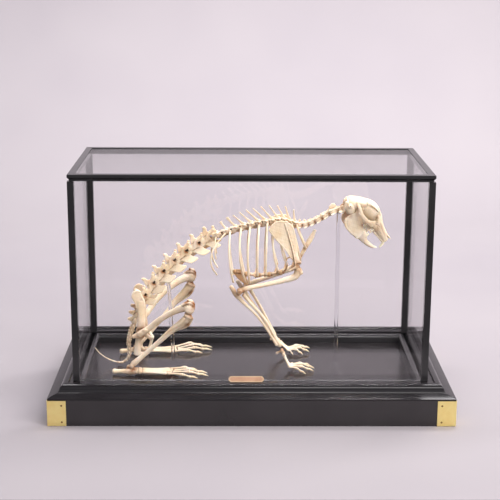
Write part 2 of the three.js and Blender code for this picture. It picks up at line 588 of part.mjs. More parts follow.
function femur(leg) {
  const { hip, trochanter, shaft, knee, side } = leg;
  const head = ball(shift(hip, [0.4, side * -2.4, 1.4]), 5.4);
  const neckPiece = sweep([station(shift(hip, [0, -side * 1, 1]), 3.6),
    station(blend(trochanter, shaft[0], 0.35), 5)], { steps: 1 });
  const hook = sweep([station(shift(trochanter, [-3, side * 1.5, 1]), 3, 3.4),
    station(blend(trochanter, shaft[0], 0.5), 5, 5.4)], { steps: 1 });
  const lesser = ball(shift(blend(trochanter, shaft[0], 0.6), [1, -side * 4.5, -2]), [3.4, 2.6, 3],
    { wide: 6, high: 4 });
  const third = ball(shift(blend(trochanter, shaft[0], 0.8), [-1, side * 4.4, 1]), [4.4, 2, 3.4],
    { wide: 6, high: 4 });
  const body = sweep([station(blend(trochanter, shaft[0], 0.3), 5.4, 5), station(shaft[0], 4.9),
    station(shaft[1], 4.7), station(shaft[2], 4.7, 5), station(shaft[3], 6, 6.2), station(knee, 7.6, 7)],
    { sides: 8, steps: 1 });
  const groove = sweep([station(shift(knee, [-10, 0, 5.4]), 3.6, 2),
    station(shift(knee, [-1, 0, 8]), 4.2, 2.6), station(shift(knee, [5.6, 0, 3.5]), 4.4, 2.6)],
    { steps: 1 });
  const condyles = [-1, 1].map((way) => ball(shift(knee, [1.2, way * 4.8, -1.4]), [7.6, 3.8, 7.4],
    { turn: 0.4 }));
  return join([head, neckPiece, hook, lesser, third, body, groove, condyles]);
}

function kneecap(leg) {
  const { knee } = leg;
  return sweep([station(shift(knee, [-1.5, 0, 12.6]), 2.6, 1.6),
    station(shift(knee, [4.4, 0, 10.4]), 3.6, 2.4), station(shift(knee, [8.6, 0, 5.6]), 2.4, 1.4)],
    { steps: 1 });
}

function tibia(leg) {
  const { shin, side } = leg;
  const plateau = ball(shift(shin[0], [-0.6, 0, 2]), [7, 8, 4.4], { turn: 0.5 });
  const body = sweep([station(shift(shin[0], [0, 0, 1]), 7.4, 6), station(shin[1], 5.6, 6),
    station(shin[2], 4.4, 5), station(shin[3], 3.9, 3.9), station(shin[4], 4, 3.6),
    station(shin[5], 6, 4.4)], { sides: 7, steps: 1 });
  const crest = sweep([station(shift(shin[0], [5, 0, -2]), 2, 3),
    station(shift(shin[1], [6.4, 0, -4.6]), 1.8, 3.4), station(shift(shin[2], [2.4, 0, -2.2]), 1.4, 2)],
    { steps: 1, sides: 5 });
  const fibula = sweep([station(shift(shin[0], [-6.4, side * 5, -1.5]), 1.6, 2.4),
    station(shift(shin[1], [-5, side * 6, -2.4]), 1, 1.2),
    station(shift(shin[2], [-4, side * 4.8, 0]), 0.9, 1),
    station(shift(shin[3], [-1.4, side * 2.6, 1]), 1, 1.2)], { steps: 1, sides: 5 });
  const ankleKnobs = [-1, 1].map((way) => ball(shift(shin[5], [-2, way * 5.4, -2]), [3.4, 2, 3.6],
    { wide: 6, high: 4 }));
  return join([plateau, body, crest, fibula, ankleKnobs]);
}

// A direction along the foot from its turn, with the point that many millimetres along and across it
const footPoint = (leg, along, across, z) => {
  const [c, s] = [Math.cos(leg.turn), Math.sin(leg.turn)];
  return [leg.ankle[0] + along * c - across * s, leg.ankle[1] + along * s + across * c, z];
};

function tarsus(leg) {
  const heelBone = sweep([station(leg.heel, 4.2, 4.6),
    station(blend(leg.heel, footPoint(leg, -8, leg.side * 2.5, 46), 0.45), 3.2, 3.4),
    station(footPoint(leg, -6, leg.side * 2.6, 46), 4.4, 4.6),
    station(footPoint(leg, 4, leg.side * 3.4, 45.6), 4, 4.4)], { steps: 1 });
  const pulley = sweep([station(footPoint(leg, -5, -leg.side * 1.6, 51), 4.6, 3.4),
    station(footPoint(leg, 3, -leg.side * 2.8, 48), 3.6, 3.6)], { steps: 1 });
  const cubes = [-1, 0, 1].map((row) => sweep([station(footPoint(leg, 1, row * 4.6, 46.4), 3, 3.8),
    station(footPoint(leg, 12.6, row * 5.4, 46.4), 3, 3.8)], { steps: 1, sides: 5, blunt: true }));
  return join([heelBone, pulley, cubes]);
}

// One toe from its root to the claw tip: long bone, two finger bones and the claw
function toe(root, head, knuckle, tip, size) {
  const second = blend(knuckle, tip, 0.46);
  const clawBase = blend(knuckle, tip, 0.6);
  second[2] += 1.4 * size;
  clawBase[2] += 1.5 * size;
  const bulge = (point, wide, deep) => station(point, wide * size, deep * size);
  return sweep([bulge(root, 2.7, 2.9), bulge(blend(root, head, 0.3), 1.9, 1.9),
    bulge(blend(root, head, 0.75), 1.9, 1.8), bulge(head, 2.8, 3),
    bulge(blend(head, knuckle, 0.5), 1.6, 1.6), bulge(knuckle, 2.4, 2.4),
    bulge(blend(knuckle, second, 0.5), 1.5, 1.5), bulge(second, 2, 2), bulge(clawBase, 1.5, 1.8),
    bulge(tip, 0.45, 0.5)], { sides: 4, steps: 1 });
}

const HIND_TOE_SIZE = 1.08;

function hindFoot(leg) {
  const pieces = leg.toes.map(({ across, reach, knuckle, tip }) => {
    const root = footPoint(leg, 15.4, 0.72 * across, 46.4);
    return toe(root, footPoint(leg, 9 + reach, 1.15 * across, 45), knuckle, tip, HIND_TOE_SIZE);
  });
  const rootBar = sweep([station(footPoint(leg, 14.4, -7, 46.2), 2.6, 2.4),
    station(footPoint(leg, 14.4, 7, 46.2), 2.6, 2.4)], { steps: 1, sides: 5, across: [1, 0, 0] });
  return join([pieces, rootBar]);
}

const FORE = {
  right: {
    blade: -27.4,
    spine: [[51, 272], [58, 250], [64.5, 226], [67.6, 205]],
    hook: [57, 201.5],
    head: [68.6, -22.6, 205],
    tubercle: [75.4, -25, 197],
    arm: [[68, -25, 191.6], [50, -25.6, 184.8], [22, -28, 178.6], [-4, -30, 173.6]],
    elbow: [-18.5, -31, 168.6],
    olecranon: [-31.5, -31, 175.6],
    radius: [[-12, -30.6, 162.4], [-1, -29.6, 148.6], [17, -27, 127.4], [31.6, -24, 103],
      [44.4, -20.6, 77.6]],
    ulna: [[-24, -31, 163.6], [-11, -30.4, 149], [8.6, -29, 128.6], [25.4, -27.4, 104], [39.6, -24.6, 79.4]],
    wrist: [48, -22.6, 70],
    palm: [59.5, -28.5, 47],
    pea: [40, -24, 66],
    toes: [
      { root: 7.4, tip: [70, -12, 43.4], knuckle: [64.6, -18.6, 47.4], size: 0.7 },
      { root: 4.4, tip: [92, -18, 44.4], knuckle: [77, -22.6, 49.6], size: 0.95 },
      { root: 1, tip: [98.5, -29.5, 43], knuckle: [81, -28.6, 50], size: 1 },
      { root: -3, tip: [97, -41, 42.4], knuckle: [79, -36.4, 48.6], size: 1 },
      { root: -6.6, tip: [84, -53, 42], knuckle: [71, -42, 47.4], size: 0.9 },
    ],
    side: -1,
  },
  left: {
    blade: 27.4,
    spine: [[51, 272], [58, 250], [64.5, 226], [67.6, 205]],
    hook: [57, 201.5],
    head: [69.6, 34, 204],
    tubercle: [75.4, 36, 196],
    arm: [[69, 35.6, 190.6], [50, 33, 182.6], [27, 29, 174.4], [4, 25.6, 167.4]],
    elbow: [-8.5, 24, 162.6],
    olecranon: [-21.6, 22.4, 169.6],
    radius: [[-2.4, 26.4, 156], [5.4, 30.6, 141.6], [17.4, 37.6, 118.4], [28.6, 44.4, 94],
      [38.4, 50.6, 71.6]],
    ulna: [[-14, 23.6, 157.6], [-4.6, 28.2, 142], [9, 36, 120], [22, 43.6, 95.6], [32, 49.8, 73.6]],
    wrist: [40.4, 52.6, 65.6],
    palm: [61, 52, 46.6],
    pea: [32.4, 52, 63.4],
    toes: [
      { root: -7.4, tip: [68, 33.5, 43.4], knuckle: [64.6, 40.6, 47], size: 0.7 },
      { root: -4.4, tip: [84, 36.6, 42.6], knuckle: [74.6, 43.6, 48.6], size: 0.95 },
      { root: -1, tip: [95, 47.6, 43.4], knuckle: [80, 50.4, 50], size: 1 },
      { root: 3, tip: [97, 60, 45.4], knuckle: [79.6, 57.4, 51], size: 1 },
      { root: 6.6, tip: [90, 69.6, 45], knuckle: [75, 63, 50], size: 0.9 },
    ],
    side: 1,
  },
};

const BLADE = { thick: 1.3, level: 236, lean: 0.1,
  outline: [[26.4, 262.6], [31, 270.6], [40, 276], [53, 276], [62.6, 267], [67, 247], [70, 228],
  [72, 216], [66, 212.5], [62, 217], [53.3, 230.6], [34.9, 251.6]] };

function scapula(limb) {
  const lean = -limb.side * BLADE.lean;
  const outline = BLADE.outline.map(([x, z]) => [x, z - BLADE.level]);
  const body = plate(outline, BLADE.thick, mid(0, BLADE.level, limb.blade), [1, MIDLINE.slope, 0],
    [0, lean, 1]);
  const offset = (z) => limb.blade + lean * (z - BLADE.level);
  const point = (x, z, out = 0) => mid(x, z, offset(z) + limb.side * out);
  const neckPiece = sweep([station(point(67, 224), 1.4, 4), station(point(69.6, 213.6), 4, 5.6)],
    { steps: 1 });
  const ridgeLine = limb.spine.map(([x, z], i) => station(point(x, z, 0.8 + 0.9 * i), 1.4 + 0.45 * i, 0.9));
  const ridge = sweep(ridgeLine, { steps: 1, sides: 5 });
  const [tipX, tipZ] = limb.spine[3];
  const hook = sweep([station(point(tipX, tipZ + 2, 6), 1.1, 2.2),
    station(point(...limb.hook, 6.4), 0.9, 1.4)], { steps: 1, sides: 5 });
  const beak = ball(point(74, 212, -2), [2.6, 2.4, 2.6], { wide: 6, high: 4 });
  return join([body, neckPiece, ridge, hook, beak]);
}

function humerus(limb) {
  const { head, tubercle, arm, elbow } = limb;
  const body = sweep([station(blend(head, tubercle, 0.5), 6, 6), station(arm[0], 5.2, 5.6),
    station(arm[1], 3.9, 4.4), station(arm[2], 3.7), station(arm[3], 3.9), station(elbow, 5.4, 4.4)],
    { sides: 8, steps: 1 });
  const knobs = [ball(head, [5.6, 5.4, 5.6]), ball(tubercle, [4, 4.4, 4], { wide: 6, high: 4 })];
  const roller = sweep([station(shift(elbow, [0, -6, 0]), 4.6), station(shift(elbow, [0, 6, 0]), 4.6)],
    { steps: 1, sides: 8, across: [1, 0, 0] });
  return join([body, knobs, roller]);
}

function ulna(limb) {
  const { olecranon, ulna: shaft } = limb;
  return sweep([station(olecranon, 3.6, 3.4), station(shaft[0], 3, 4.2), station(shaft[1], 2.2, 2.8),
    station(shaft[2], 1.9, 2.1), station(shaft[3], 1.7, 1.7), station(shaft[4], 2.2, 2.2)], { steps: 1 });
}

function radius(limb) {
  const { radius: shaft } = limb;
  return sweep([station(shaft[0], 5, 3.4), station(shaft[1], 3.2, 2.4), station(shaft[2], 3.1, 2.3),
    station(shaft[3], 3, 2.3), station(shaft[4], 4.2, 3.2)], { steps: 1 });
}

function forefoot(limb) {
  const { wrist, palm, pea, toes } = limb;
  const pieces = toes.map(({ root, knuckle, tip, size }) => {
    const start = shift(blend(wrist, palm, 0.2), [0, 0.7 * root, 0]);
    return toe(start, shift(palm, [0, root, 0]), knuckle, tip, size);
  });
  const rows = [0, 0.22].map((t) => {
    const ends = [-6, 6].map((away) => station(shift(blend(wrist, palm, t), [0, away, 0]), 3, 3));
    return sweep(ends, { steps: 1, sides: 5, across: [1, 0, 0] });
  });
  const pisiform = sweep([station(pea, 1.8, 2), station(wrist, 2, 2)], { steps: 1, sides: 5 });
  return join([pieces, rows, pisiform]);
}

// The case

// A moulding of one profile (distance inward from the plinth's edge, height) run along one side
// between mitres. Each end keeps half a gap to the mitre plane.
function mitredLength(profile, halfLength, halfWidth, turn) {
  const shape = new THREE.Shape(profile.map(([u, z]) => new THREE.Vector2(u, z)));
  const geometry = new THREE.ExtrudeGeometry(shape, { depth: 1, bevelEnabled: false });
  const position = geometry.attributes.position;
  for (let i = 0; i < position.count; i += 1) {
    const [u, z, end] = [position.getX(i), position.getY(i), position.getZ(i)];
    const reach = halfLength - u - GAP / 2;
    position.setXYZ(i, (end > 0.5 ? 1 : -1) * reach, -(halfWidth - u), z);
  }
  geometry.rotateZ(turn);
  return solidFromGeometry(geometry);
}

// The plinth's moulding: a thin foot, a shallow cove, a quarter round and the ledge the case stands on
function mouldingProfile(inner) {
  const { foot, cove, coveTop, bead, beadTop, ledge, bend } = MOULDING;
  const shoulder = coveTop + 3.6;
  const points = [[0.8, PLINTH.height + GAP], [0.8, foot], [6, foot + 2.1], [cove, coveTop],
    [bead, shoulder]];
  const steps = 4;
  for (let i = 1; i <= steps; i += 1) {
    const angle = (Math.PI / 2) * (i / steps);
    points.push([bead + 8 * (1 - Math.cos(angle)), shoulder + (beadTop - shoulder) * Math.sin(angle)]);
  }
  points.push([bend - 1.5, beadTop], [bend, ledge], [inner, ledge], [inner, PLINTH.height + GAP]);
  return points;
}

function beadProfile() {
  const { width, shoulder, top } = INNER_BEAD;
  const points = [[0, PLINTH.height + GAP], [0, shoulder]];
  const steps = 6;
  for (let i = 1; i <= steps; i += 1) {
    const angle = Math.PI * (1 - i / steps);
    points.push([(width / 2) * (1 + Math.cos(angle)), shoulder + (top - shoulder) * Math.sin(angle)]);
  }
  points.push([width, PLINTH.height + GAP]);
  return points;
}

// The four corners, with the way to each from the middle
const CORNERS = [[-1, -1, 'front_left'], [1, -1, 'front_right'], [-1, 1, 'back_left'], [1, 1, 'back_right']];

// The four sides, with the way each one faces
const SIDES = [
  { name: 'front', turn: 0, long: true, offset: 0 },
  { name: 'right', turn: Math.PI / 2, long: false, offset: CASE.x },
  { name: 'back', turn: Math.PI, long: true, offset: 0 },
  { name: 'left', turn: -Math.PI / 2, long: false, offset: -CASE.x },
];

function sideLength({ turn, long }, profile, length, width) {
  const [along, across] = long ? [length, width] : [width, length];
  return mitredLength(profile, along / 2, across / 2, turn);
}

function moulding(side) {
  const [outer, inner] = side.long ? [PLINTH.width, CASE.width] : [PLINTH.length, CASE.length];
  return sideLength(side, mouldingProfile((outer - inner) / 2 - side.offset + CASE.inset - GAP),
    PLINTH.length, PLINTH.width);
}

const GLASS_INNER = 2 * (CASE.inset + CASE.glass + GAP);
const centred = (solid) => solid.translate([CASE.x, 0, 0]);

const innerBead = (side) => centred(sideLength(side, beadProfile(), CASE.length - GLASS_INNER,
  CASE.width - GLASS_INNER));

function plinth() {
  const [x, y] = [PLINTH.length / 2 - CORNER.thick - GAP, PLINTH.width / 2 - CORNER.thick - GAP];
  return block([-x, -y, 0], [x, y, PLINTH.height]);
}

function brassCorner(sx, sy) {
  const [x, y] = [PLINTH.length / 2, PLINTH.width / 2];
  const bottom = CORNER.margin;
  const top = PLINTH.height - CORNER.margin;
  const span = (a, b) => [Math.min(a, b), Math.max(a, b)];
  const slab = (ax, bx, ay, by) => {
    const [x0, x1] = span(sx * ax, sx * bx);
    const [y0, y1] = span(sy * ay, sy * by);
    return block([x0, y0, bottom], [x1, y1, top]);
  };
  return slab(x - CORNER.reach, x, y - CORNER.thick, y).add(slab(x - CORNER.thick, x, y - CORNER.reach, y));
}

// Upright panes stand in the groove between the moulding and the inner bead, and end under the top rails
function panes() {
  const [x, y] = [CASE.length / 2, CASE.width / 2];
  const low = PLINTH.height + 2 * GAP;
  const high = CASE.top - CASE.rail - GAP;
  const edge = CASE.post + GAP;
  const [near, far] = [CASE.inset + CASE.glass, CASE.inset];
  const inner = CASE.rail + GAP;
  return {
    front: block([-x + edge, -y + far, low], [x - edge, -y + near, high]),
    back: block([-x + edge, y - near, low], [x - edge, y - far, high]),
    left: block([-x + far, -y + edge, low], [-x + near, y - edge, high]),
    right: block([x - near, -y + edge, low], [x - far, y - edge, high]),
    top: block([-x + inner, -y + inner, CASE.top - 1 - CASE.glass], [x - inner, y - inner, CASE.top - 1]),
  };
}

function post(sx, sy) {
  const [x, y] = [CASE.length / 2, CASE.width / 2];
  const [x0, x1] = [sx * (x - CASE.post), sx * x].sort((a, b) => a - b);
  const [y0, y1] = [sy * (y - CASE.post), sy * y].sort((a, b) => a - b);
  return block([x0, y0, MOULDING.ledge + GAP], [x1, y1, CASE.top - CASE.rail - GAP]);
}

// Top rails: square in section with the lower outer edge bevelled, mitred at the corners
const railProfile = [[0, CASE.top - 4.4], [0, CASE.top - 0.5], [0.5, CASE.top], [CASE.rail, CASE.top],
  [CASE.rail, CASE.top - CASE.rail], [2.6, CASE.top - CASE.rail], [2.6, CASE.top - 7.4]];

// The plaque has hollowed corners, stands on the ledge and leans on the front pane
function plaque() {
  const { length, height, notch, thick, lean } = PLAQUE;
  const half = length / 2;
  const corners = [[half, 0, Math.PI, Math.PI / 2], [half, height, -Math.PI / 2, -Math.PI],
    [-half, height, 0, -Math.PI / 2], [-half, 0, Math.PI / 2, 0]];
  const outline = [];
  for (const [u, v, from, to] of corners) {
    for (let i = 0; i <= 3; i += 1) {
      const angle = mix(from, to, i / 3);
      outline.push(new THREE.Vector2(u + notch * Math.cos(angle), v + notch * Math.sin(angle)));
    }
  }
  const geometry = new THREE.ExtrudeGeometry(new THREE.Shape(outline),
    { depth: thick, bevelEnabled: false });
  geometry.rotateX(Math.PI / 2 - lean);
  geometry.translate(PLAQUE.x, PLAQUE.y, PLAQUE.z);
  return solidFromGeometry(geometry);
}

const rod = (ends) => sweep(ends.map((p) => [...p, ROD.radius, ROD.radius]),
  { sides: 10, steps: 1, blunt: true, across: [1, 0, 0] });

// Materials
const paint = (color, roughness, metalness = 0) => new THREE.MeshStandardMaterial({ color, roughness,
  metalness });
const bone = paint('#eadfc4', 0.6);
const tooth = paint('#efe6d0', 0.45);
const lacquer = paint('#1b1a1d', 0.35);
const brass = paint('#d8b75a', 0.3, 1);
const copper = paint('#c49a72', 0.4, 1);
const acrylic = paint('#dfe4ea', 0.1);
const glassLook = paint('#e6ecf0', 0.05);
glassLook.transparent = true;
glassLook.opacity = 0.15;

const model = new THREE.Group();

function addNode(name, solid, material) {
  const mesh = new THREE.Mesh(geometryOf(solid), material.clone());
  mesh.name = name;
  model.add(mesh);
}

// Bones, each cut clear of the neighbours that were placed before it
const jawGrown = clearance(jaw);
const skullGrown = clearance(skull);
const neckGrown = clearance(neck);
const archGrown = clearance(chestArches);
const loinGrown = clearance(loins);
const rumpGrown = clearance(rump);

addNode('mandible', jaw(), tooth);
addNode('skull', cut(skull(), jawGrown), bone);
addNode('neck_vertebrae', cut(neck(), skullGrown), bone);
addNode('chest_vertebrae', cut(chestArches(), neckGrown), bone);
const chestCutters = [archGrown, neckGrown, clearance(breastbone)];
addNode('ribs_right', cut(ribSide(-1), chestCutters), bone);
addNode('ribs_left', cut(ribSide(1), chestCutters), bone);
addNode('breastbone', breastbone(), bone);
const ribCutters = [clearance(chestBodies), clearance(() => ribSide(-1)), clearance(() => ribSide(1))];
addNode('loin_vertebrae', cut(loins(), archGrown, ribCutters), bone);
addNode('sacrum', cut(rump(), loinGrown), bone);
addNode('tail_vertebrae', cut(tail(), rumpGrown), bone);

const thighs = Object.values(HIND).map((leg) => clearance(() => femur(leg)));
addNode('pelvis', cut(pelvis(), thighs, rumpGrown, loinGrown, clearance(tail)), bone);
for (const [name, leg] of Object.entries(HIND)) {
  const femurGrown = clearance(() => femur(leg));
  const tibiaGrown = clearance(() => tibia(leg));
  const capGrown = clearance(() => kneecap(leg));
  addNode(`femur_${name}`, femur(leg), bone);
  addNode(`kneecap_${name}`, cut(kneecap(leg), femurGrown), bone);
  addNode(`tibia_${name}`, cut(tibia(leg), femurGrown, capGrown), bone);
  addNode(`tarsus_${name}`, cut(tarsus(leg), tibiaGrown), bone);
  addNode(`hind_foot_${name}`, cut(hindFoot(leg), clearance(() => tarsus(leg))), bone);
}
for (const [name, limb] of Object.entries(FORE)) {
  const humerusGrown = clearance(() => humerus(limb));
  const ulnaGrown = clearance(() => ulna(limb));
  const radiusGrown = clearance(() => radius(limb));
  addNode(`scapula_${name}`, cut(scapula(limb), humerusGrown), bone);
  addNode(`humerus_${name}`, humerus(limb), bone);
  addNode(`ulna_${name}`, cut(ulna(limb), humerusGrown), bone);
  addNode(`radius_${name}`, cut(radius(limb), humerusGrown, ulnaGrown), bone);
  addNode(`forefoot_${name}`, cut(forefoot(limb), ulnaGrown, radiusGrown), bone);
}

// Stand and case
addNode('rod_front', cut(rod(RODS.rod_front), neckGrown, skullGrown), acrylic);
addNode('rod_rear', cut(rod(RODS.rod_rear), loinGrown), acrylic);
addNode('plinth', plinth(), lacquer);
for (const side of SIDES) {
  addNode(`moulding_${side.name}`, moulding(side), lacquer);
  addNode(`inner_bead_${side.name}`, innerBead(side), lacquer);
  addNode(`top_rail_${side.name}`, centred(sideLength(side, railProfile, CASE.length, CASE.width)), lacquer);
}
for (const [name, solid] of Object.entries(panes())) {
  addNode(`glass_${name}`, centred(solid), glassLook);
}
for (const [sx, sy, name] of CORNERS) {
  addNode(`post_${name}`, centred(post(sx, sy)), lacquer);
  addNode(`brass_corner_${name}`, brassCorner(sx, sy), brass);
}
addNode('plaque', plaque(), copper);

export default model;
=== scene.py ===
import math

import bmesh
import bpy
import numpy as np
from mathutils import Matrix, Vector


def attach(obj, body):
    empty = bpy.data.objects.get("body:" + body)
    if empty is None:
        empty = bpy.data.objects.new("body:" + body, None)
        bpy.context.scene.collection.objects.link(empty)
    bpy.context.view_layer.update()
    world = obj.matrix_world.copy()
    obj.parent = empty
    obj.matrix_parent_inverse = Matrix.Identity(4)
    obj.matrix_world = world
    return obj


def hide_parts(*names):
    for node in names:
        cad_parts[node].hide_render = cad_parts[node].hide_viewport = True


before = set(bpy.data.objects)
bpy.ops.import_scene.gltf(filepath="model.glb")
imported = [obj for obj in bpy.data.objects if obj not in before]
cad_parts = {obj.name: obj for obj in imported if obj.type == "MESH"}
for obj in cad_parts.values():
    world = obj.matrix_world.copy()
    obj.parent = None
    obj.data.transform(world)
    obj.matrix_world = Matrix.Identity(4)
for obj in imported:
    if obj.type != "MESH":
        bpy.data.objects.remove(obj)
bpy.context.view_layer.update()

# Mounted hare skeleton in its glass case. Sizes below are in millimetres, +Z up, the animal facing +X.
# Its left side is towards +Y, and the camera looks at its right side.
MM = 0.001
bpy.context.scene.view_settings.view_transform = "Standard"

MIDLINE_START = 3.0
MIDLINE_SLOPE = 0.05

PLINTH = {"length": 600.0, "width": 322.0, "height": 40.0}
CASE = {"x": -1.7, "length": 528.0, "width": 238.6, "top": 366.8}
GAP = 0.3
ON_PLINTH = PLINTH["height"] + GAP
PANE = {"inset": 0.9, "thick": 3.0}


def mid(x, z, across=0.0):
    """A point beside the body's midline."""
    return (x, MIDLINE_START + MIDLINE_SLOPE * x + across, z)


def blend(p, q, t):
    """The point at a share of the way from one point to another."""
    return tuple(a + (b - a) * t for a, b in zip(p, q))


def shift(p, by):
    return tuple(a + b for a, b in zip(p, by))


def station(point, wide, deep=None):
    """A ring of a tube: its middle, its half width and its half depth."""
    return (*point, wide, wide if deep is None else deep)


def near(point, dx, dy, dz, wide, deep=None):
    """A ring a little way from a point."""
    return station(shift(point, (dx, dy, dz)), wide, deep)


def between(p, q, t, wide, deep=None):
    """A ring on the line from one point to another."""
    return station(blend(p, q, t), wide, deep)


# Closed shapes as a pair: points, and faces as tuples of point numbers

def spline(stations, per_span):
    """Points and half sizes along a smooth curve through the stations."""
    p = np.asarray(stations, float)
    if len(p) == 2:
        t = np.linspace(0, 1, per_span + 1)[:, None]
        return p[0] * (1 - t) + p[1] * t
    chord = np.sqrt(np.maximum(np.linalg.norm(np.diff(p[:, :3], axis=0), axis=1), 1e-6))
    ends = np.vstack([2 * p[0] - p[1], p, 2 * p[-1] - p[-2]])
    knots = np.concatenate([[0.0], np.cumsum(np.concatenate([[chord[0]], chord, [chord[-1]]]))])
    rows = []
    for i in range(len(p) - 1):
        t0, t1, t2, t3 = knots[i:i + 4]
        p0, p1, p2, p3 = ends[i:i + 4]
        last = i == len(p) - 2
        for t in np.linspace(t1, t2, per_span + (1 if last else 0), endpoint=last):
            a1 = p0 * (t1 - t) / (t1 - t0) + p1 * (t - t0) / (t1 - t0)
            a2 = p1 * (t2 - t) / (t2 - t1) + p2 * (t - t1) / (t2 - t1)
            a3 = p2 * (t3 - t) / (t3 - t2) + p3 * (t - t2) / (t3 - t2)
            b1 = a1 * (t2 - t) / (t2 - t0) + a2 * (t - t0) / (t2 - t0)
            b2 = a2 * (t3 - t) / (t3 - t1) + a3 * (t - t1) / (t3 - t1)
            rows.append(b1 * (t2 - t) / (t2 - t1) + b2 * (t - t1) / (t2 - t1))
    rows = np.array(rows)
    rows[:, 3:] = np.maximum(rows[:, 3:], 0.3)
    return rows


def band_faces(rings, sides):
    """Faces between closed rings of points."""
    return [(r * sides + s, r * sides + (s + 1) % sides, (r + 1) * sides + (s + 1) % sides,
        (r + 1) * sides + s) for r in range(rings - 1) for s in range(sides)]


def capped(rings, sides):
    """Faces between closed rings, with a lid on the first and the last."""
    last = (rings - 1) * sides
    return band_faces(rings, sides) + [tuple(reversed(range(sides))), tuple(range(last, last + sides))]


def tube(stations, across=(0, 1, 0), sides=12, per_span=4, dome=0.8):
    """A closed tube of oval rings through stations (x, y, z, half width, half depth)."""
    path = spline(stations, per_span)
    centre = path[:, :3]
    tangent = np.gradient(centre, axis=0)
    tangent /= np.linalg.norm(tangent, axis=1)[:, None]
    lateral = np.asarray(across, float)
    first = lateral - tangent * (tangent @ lateral)[:, None]
    first /= np.linalg.norm(first, axis=1)[:, None]
    second = np.cross(tangent, first)
    angle = 2 * np.pi * (np.arange(sides) + 0.5) / sides

    def ring(i, scale, push):
        c = centre[i] + tangent[i] * push
        return (c + np.outer(np.cos(angle) * path[i, 3] * scale,
            first[i]) + np.outer(np.sin(angle) * path[i, 4] * scale, second[i]))

    bends = [math.radians(a) for a in (62, 32)]
    start = dome * min(path[0, 3], path[0, 4])
    rings = [ring(0, math.cos(a), -start * math.sin(a)) for a in bends]
    rings += [ring(i, 1, 0) for i in range(len(path))]
    stop = dome * min(path[-1, 3], path[-1, 4])
    rings += [ring(len(path) - 1, math.cos(a), stop * math.sin(a)) for a in reversed(bends)]
    poles = (centre[0] - tangent[0] * start, centre[-1] + tangent[-1] * stop)
    points = np.vstack(rings + [pole[None] for pole in poles])
    count = len(rings)
    faces = band_faces(count, sides)
    for s in range(sides):
        n = (s + 1) % sides
        faces.append((count * sides, n, s))
        faces.append((count * sides + 1, (count - 1) * sides + s, (count - 1) * sides + n))
    return points, faces


def ball(centre, half, turn=0.0, sides=16, rings=10):
    """An ellipsoid with half sizes along x, y and z, turned about Y."""
    half = np.asarray(half if np.ndim(half) else (half,) * 3, float)
    points = [(0, 0, -1)]
    for r in range(1, rings):
        polar = math.pi * r / rings
        for s in range(sides):
            a = 2 * math.pi * s / sides
            points.append((math.sin(polar) * math.cos(a), math.sin(polar) * math.sin(a),
                -math.cos(polar)))
    points.append((0, 0, 1))
    points = np.array(points) * half
    c, s_ = math.cos(turn), math.sin(turn)
    points = points @ np.array([[c, 0, -s_], [0, 1, 0], [s_, 0, c]]) + np.asarray(centre, float)
    faces = []
    for s in range(sides):
        n = (s + 1) % sides
        faces.append((0, 1 + n, 1 + s))
        for r in range(rings - 2):
            a, b = 1 + r * sides, 1 + (r + 1) * sides
            faces.append((a + s, a + n, b + n, b + s))
        top = 1 + (rings - 2) * sides
        faces.append((len(points) - 1, top + s, top + n))
    return points, faces


def closed_curve(outline):
    """A smooth closed curve through the points of an outline, in quarters of each span."""
    p = np.asarray(outline, float)
    rows = []
    count = len(p)
    for i in range(count):
        p0, p1, p2, p3 = (p[(i + k) % count] for k in (-1, 0, 1, 2))
        for t in (0.0, 0.25, 0.5, 0.75):
            square, cube = 2 * p0 - 5 * p1 + 4 * p2 - p3, 3 * p1 - p0 - 3 * p2 + p3
            rows.append(0.5 * (2 * p1 + (p2 - p0) * t + square * t ** 2 + cube * t ** 3))
    return np.array(rows)


def plate(outline, thick, place):
    """A plate with a rounded rim. place turns (u, v, out of the plate) into a point."""
    layers = 3
    curve = closed_curve(outline)
    ahead = np.roll(curve, -1, axis=0) - np.roll(curve, 1, axis=0)
    ahead /= np.maximum(np.linalg.norm(ahead, axis=1), 1e-9)[:, None]
    area = np.sum(curve[:, 0] * np.roll(curve[:, 1], -1) - np.roll(curve[:, 0], -1) * curve[:, 1])
    outward = np.column_stack([ahead[:, 1], -ahead[:, 0]]) * (1 if area > 0 else -1)
    rings = []
    for k in range(-layers, layers + 1):
        a = math.radians(80) * k / layers
        inset = 0.5 * thick * (1 - math.cos(a))
        flat = curve - outward * inset
        rings.append(np.array([place(u, v, 0.5 * thick * math.sin(a)) for u, v in flat]))
    points = np.vstack(rings)
    return points, capped(len(rings), len(curve))


def upright(across, lean=0.0, level=0.0):
    """Placing for a plate that stands along the body, leaning sideways with height."""
    slope = MIDLINE_SLOPE
    norm = math.hypot(1, slope)

    def place(x, z, out):
        y = MIDLINE_START + slope * x + across + lean * (z - level)
        return (x - out * slope / norm, y + out / norm, z)

    return place


# Meshes

def mesh_of(name, parts):
    """One mesh from closed shapes, in metres."""
    points, faces, base = [], [], 0
    for verts, polys in parts:
        points.append(verts)
        faces += [tuple(i + base for i in f) for f in polys]
        base += len(verts)
    mesh = bpy.data.meshes.new(name)
    mesh.from_pydata((np.vstack(points) * MM).tolist(), [], faces)
    mesh.validate()
    return mesh


def face_outwards(mesh):
    """Turns every closed shape's faces outwards."""
    work = bmesh.new()
    work.from_mesh(mesh)
    bmesh.ops.recalc_face_normals(work, faces=work.faces)
    work.to_mesh(mesh)
    work.free()


def evaluated(obj):
    graph = bpy.context.evaluated_depsgraph_get()
    return bpy.data.meshes.new_from_object(obj.evaluated_get(graph))


def temporary(mesh):
    """An object that holds a mesh while it is worked on."""
    obj = bpy.data.objects.new("work", mesh)
    bpy.context.scene.collection.objects.link(obj)
    return obj


def discard(obj):
    mesh = obj.data
    bpy.data.objects.remove(obj)
    bpy.data.meshes.remove(mesh)


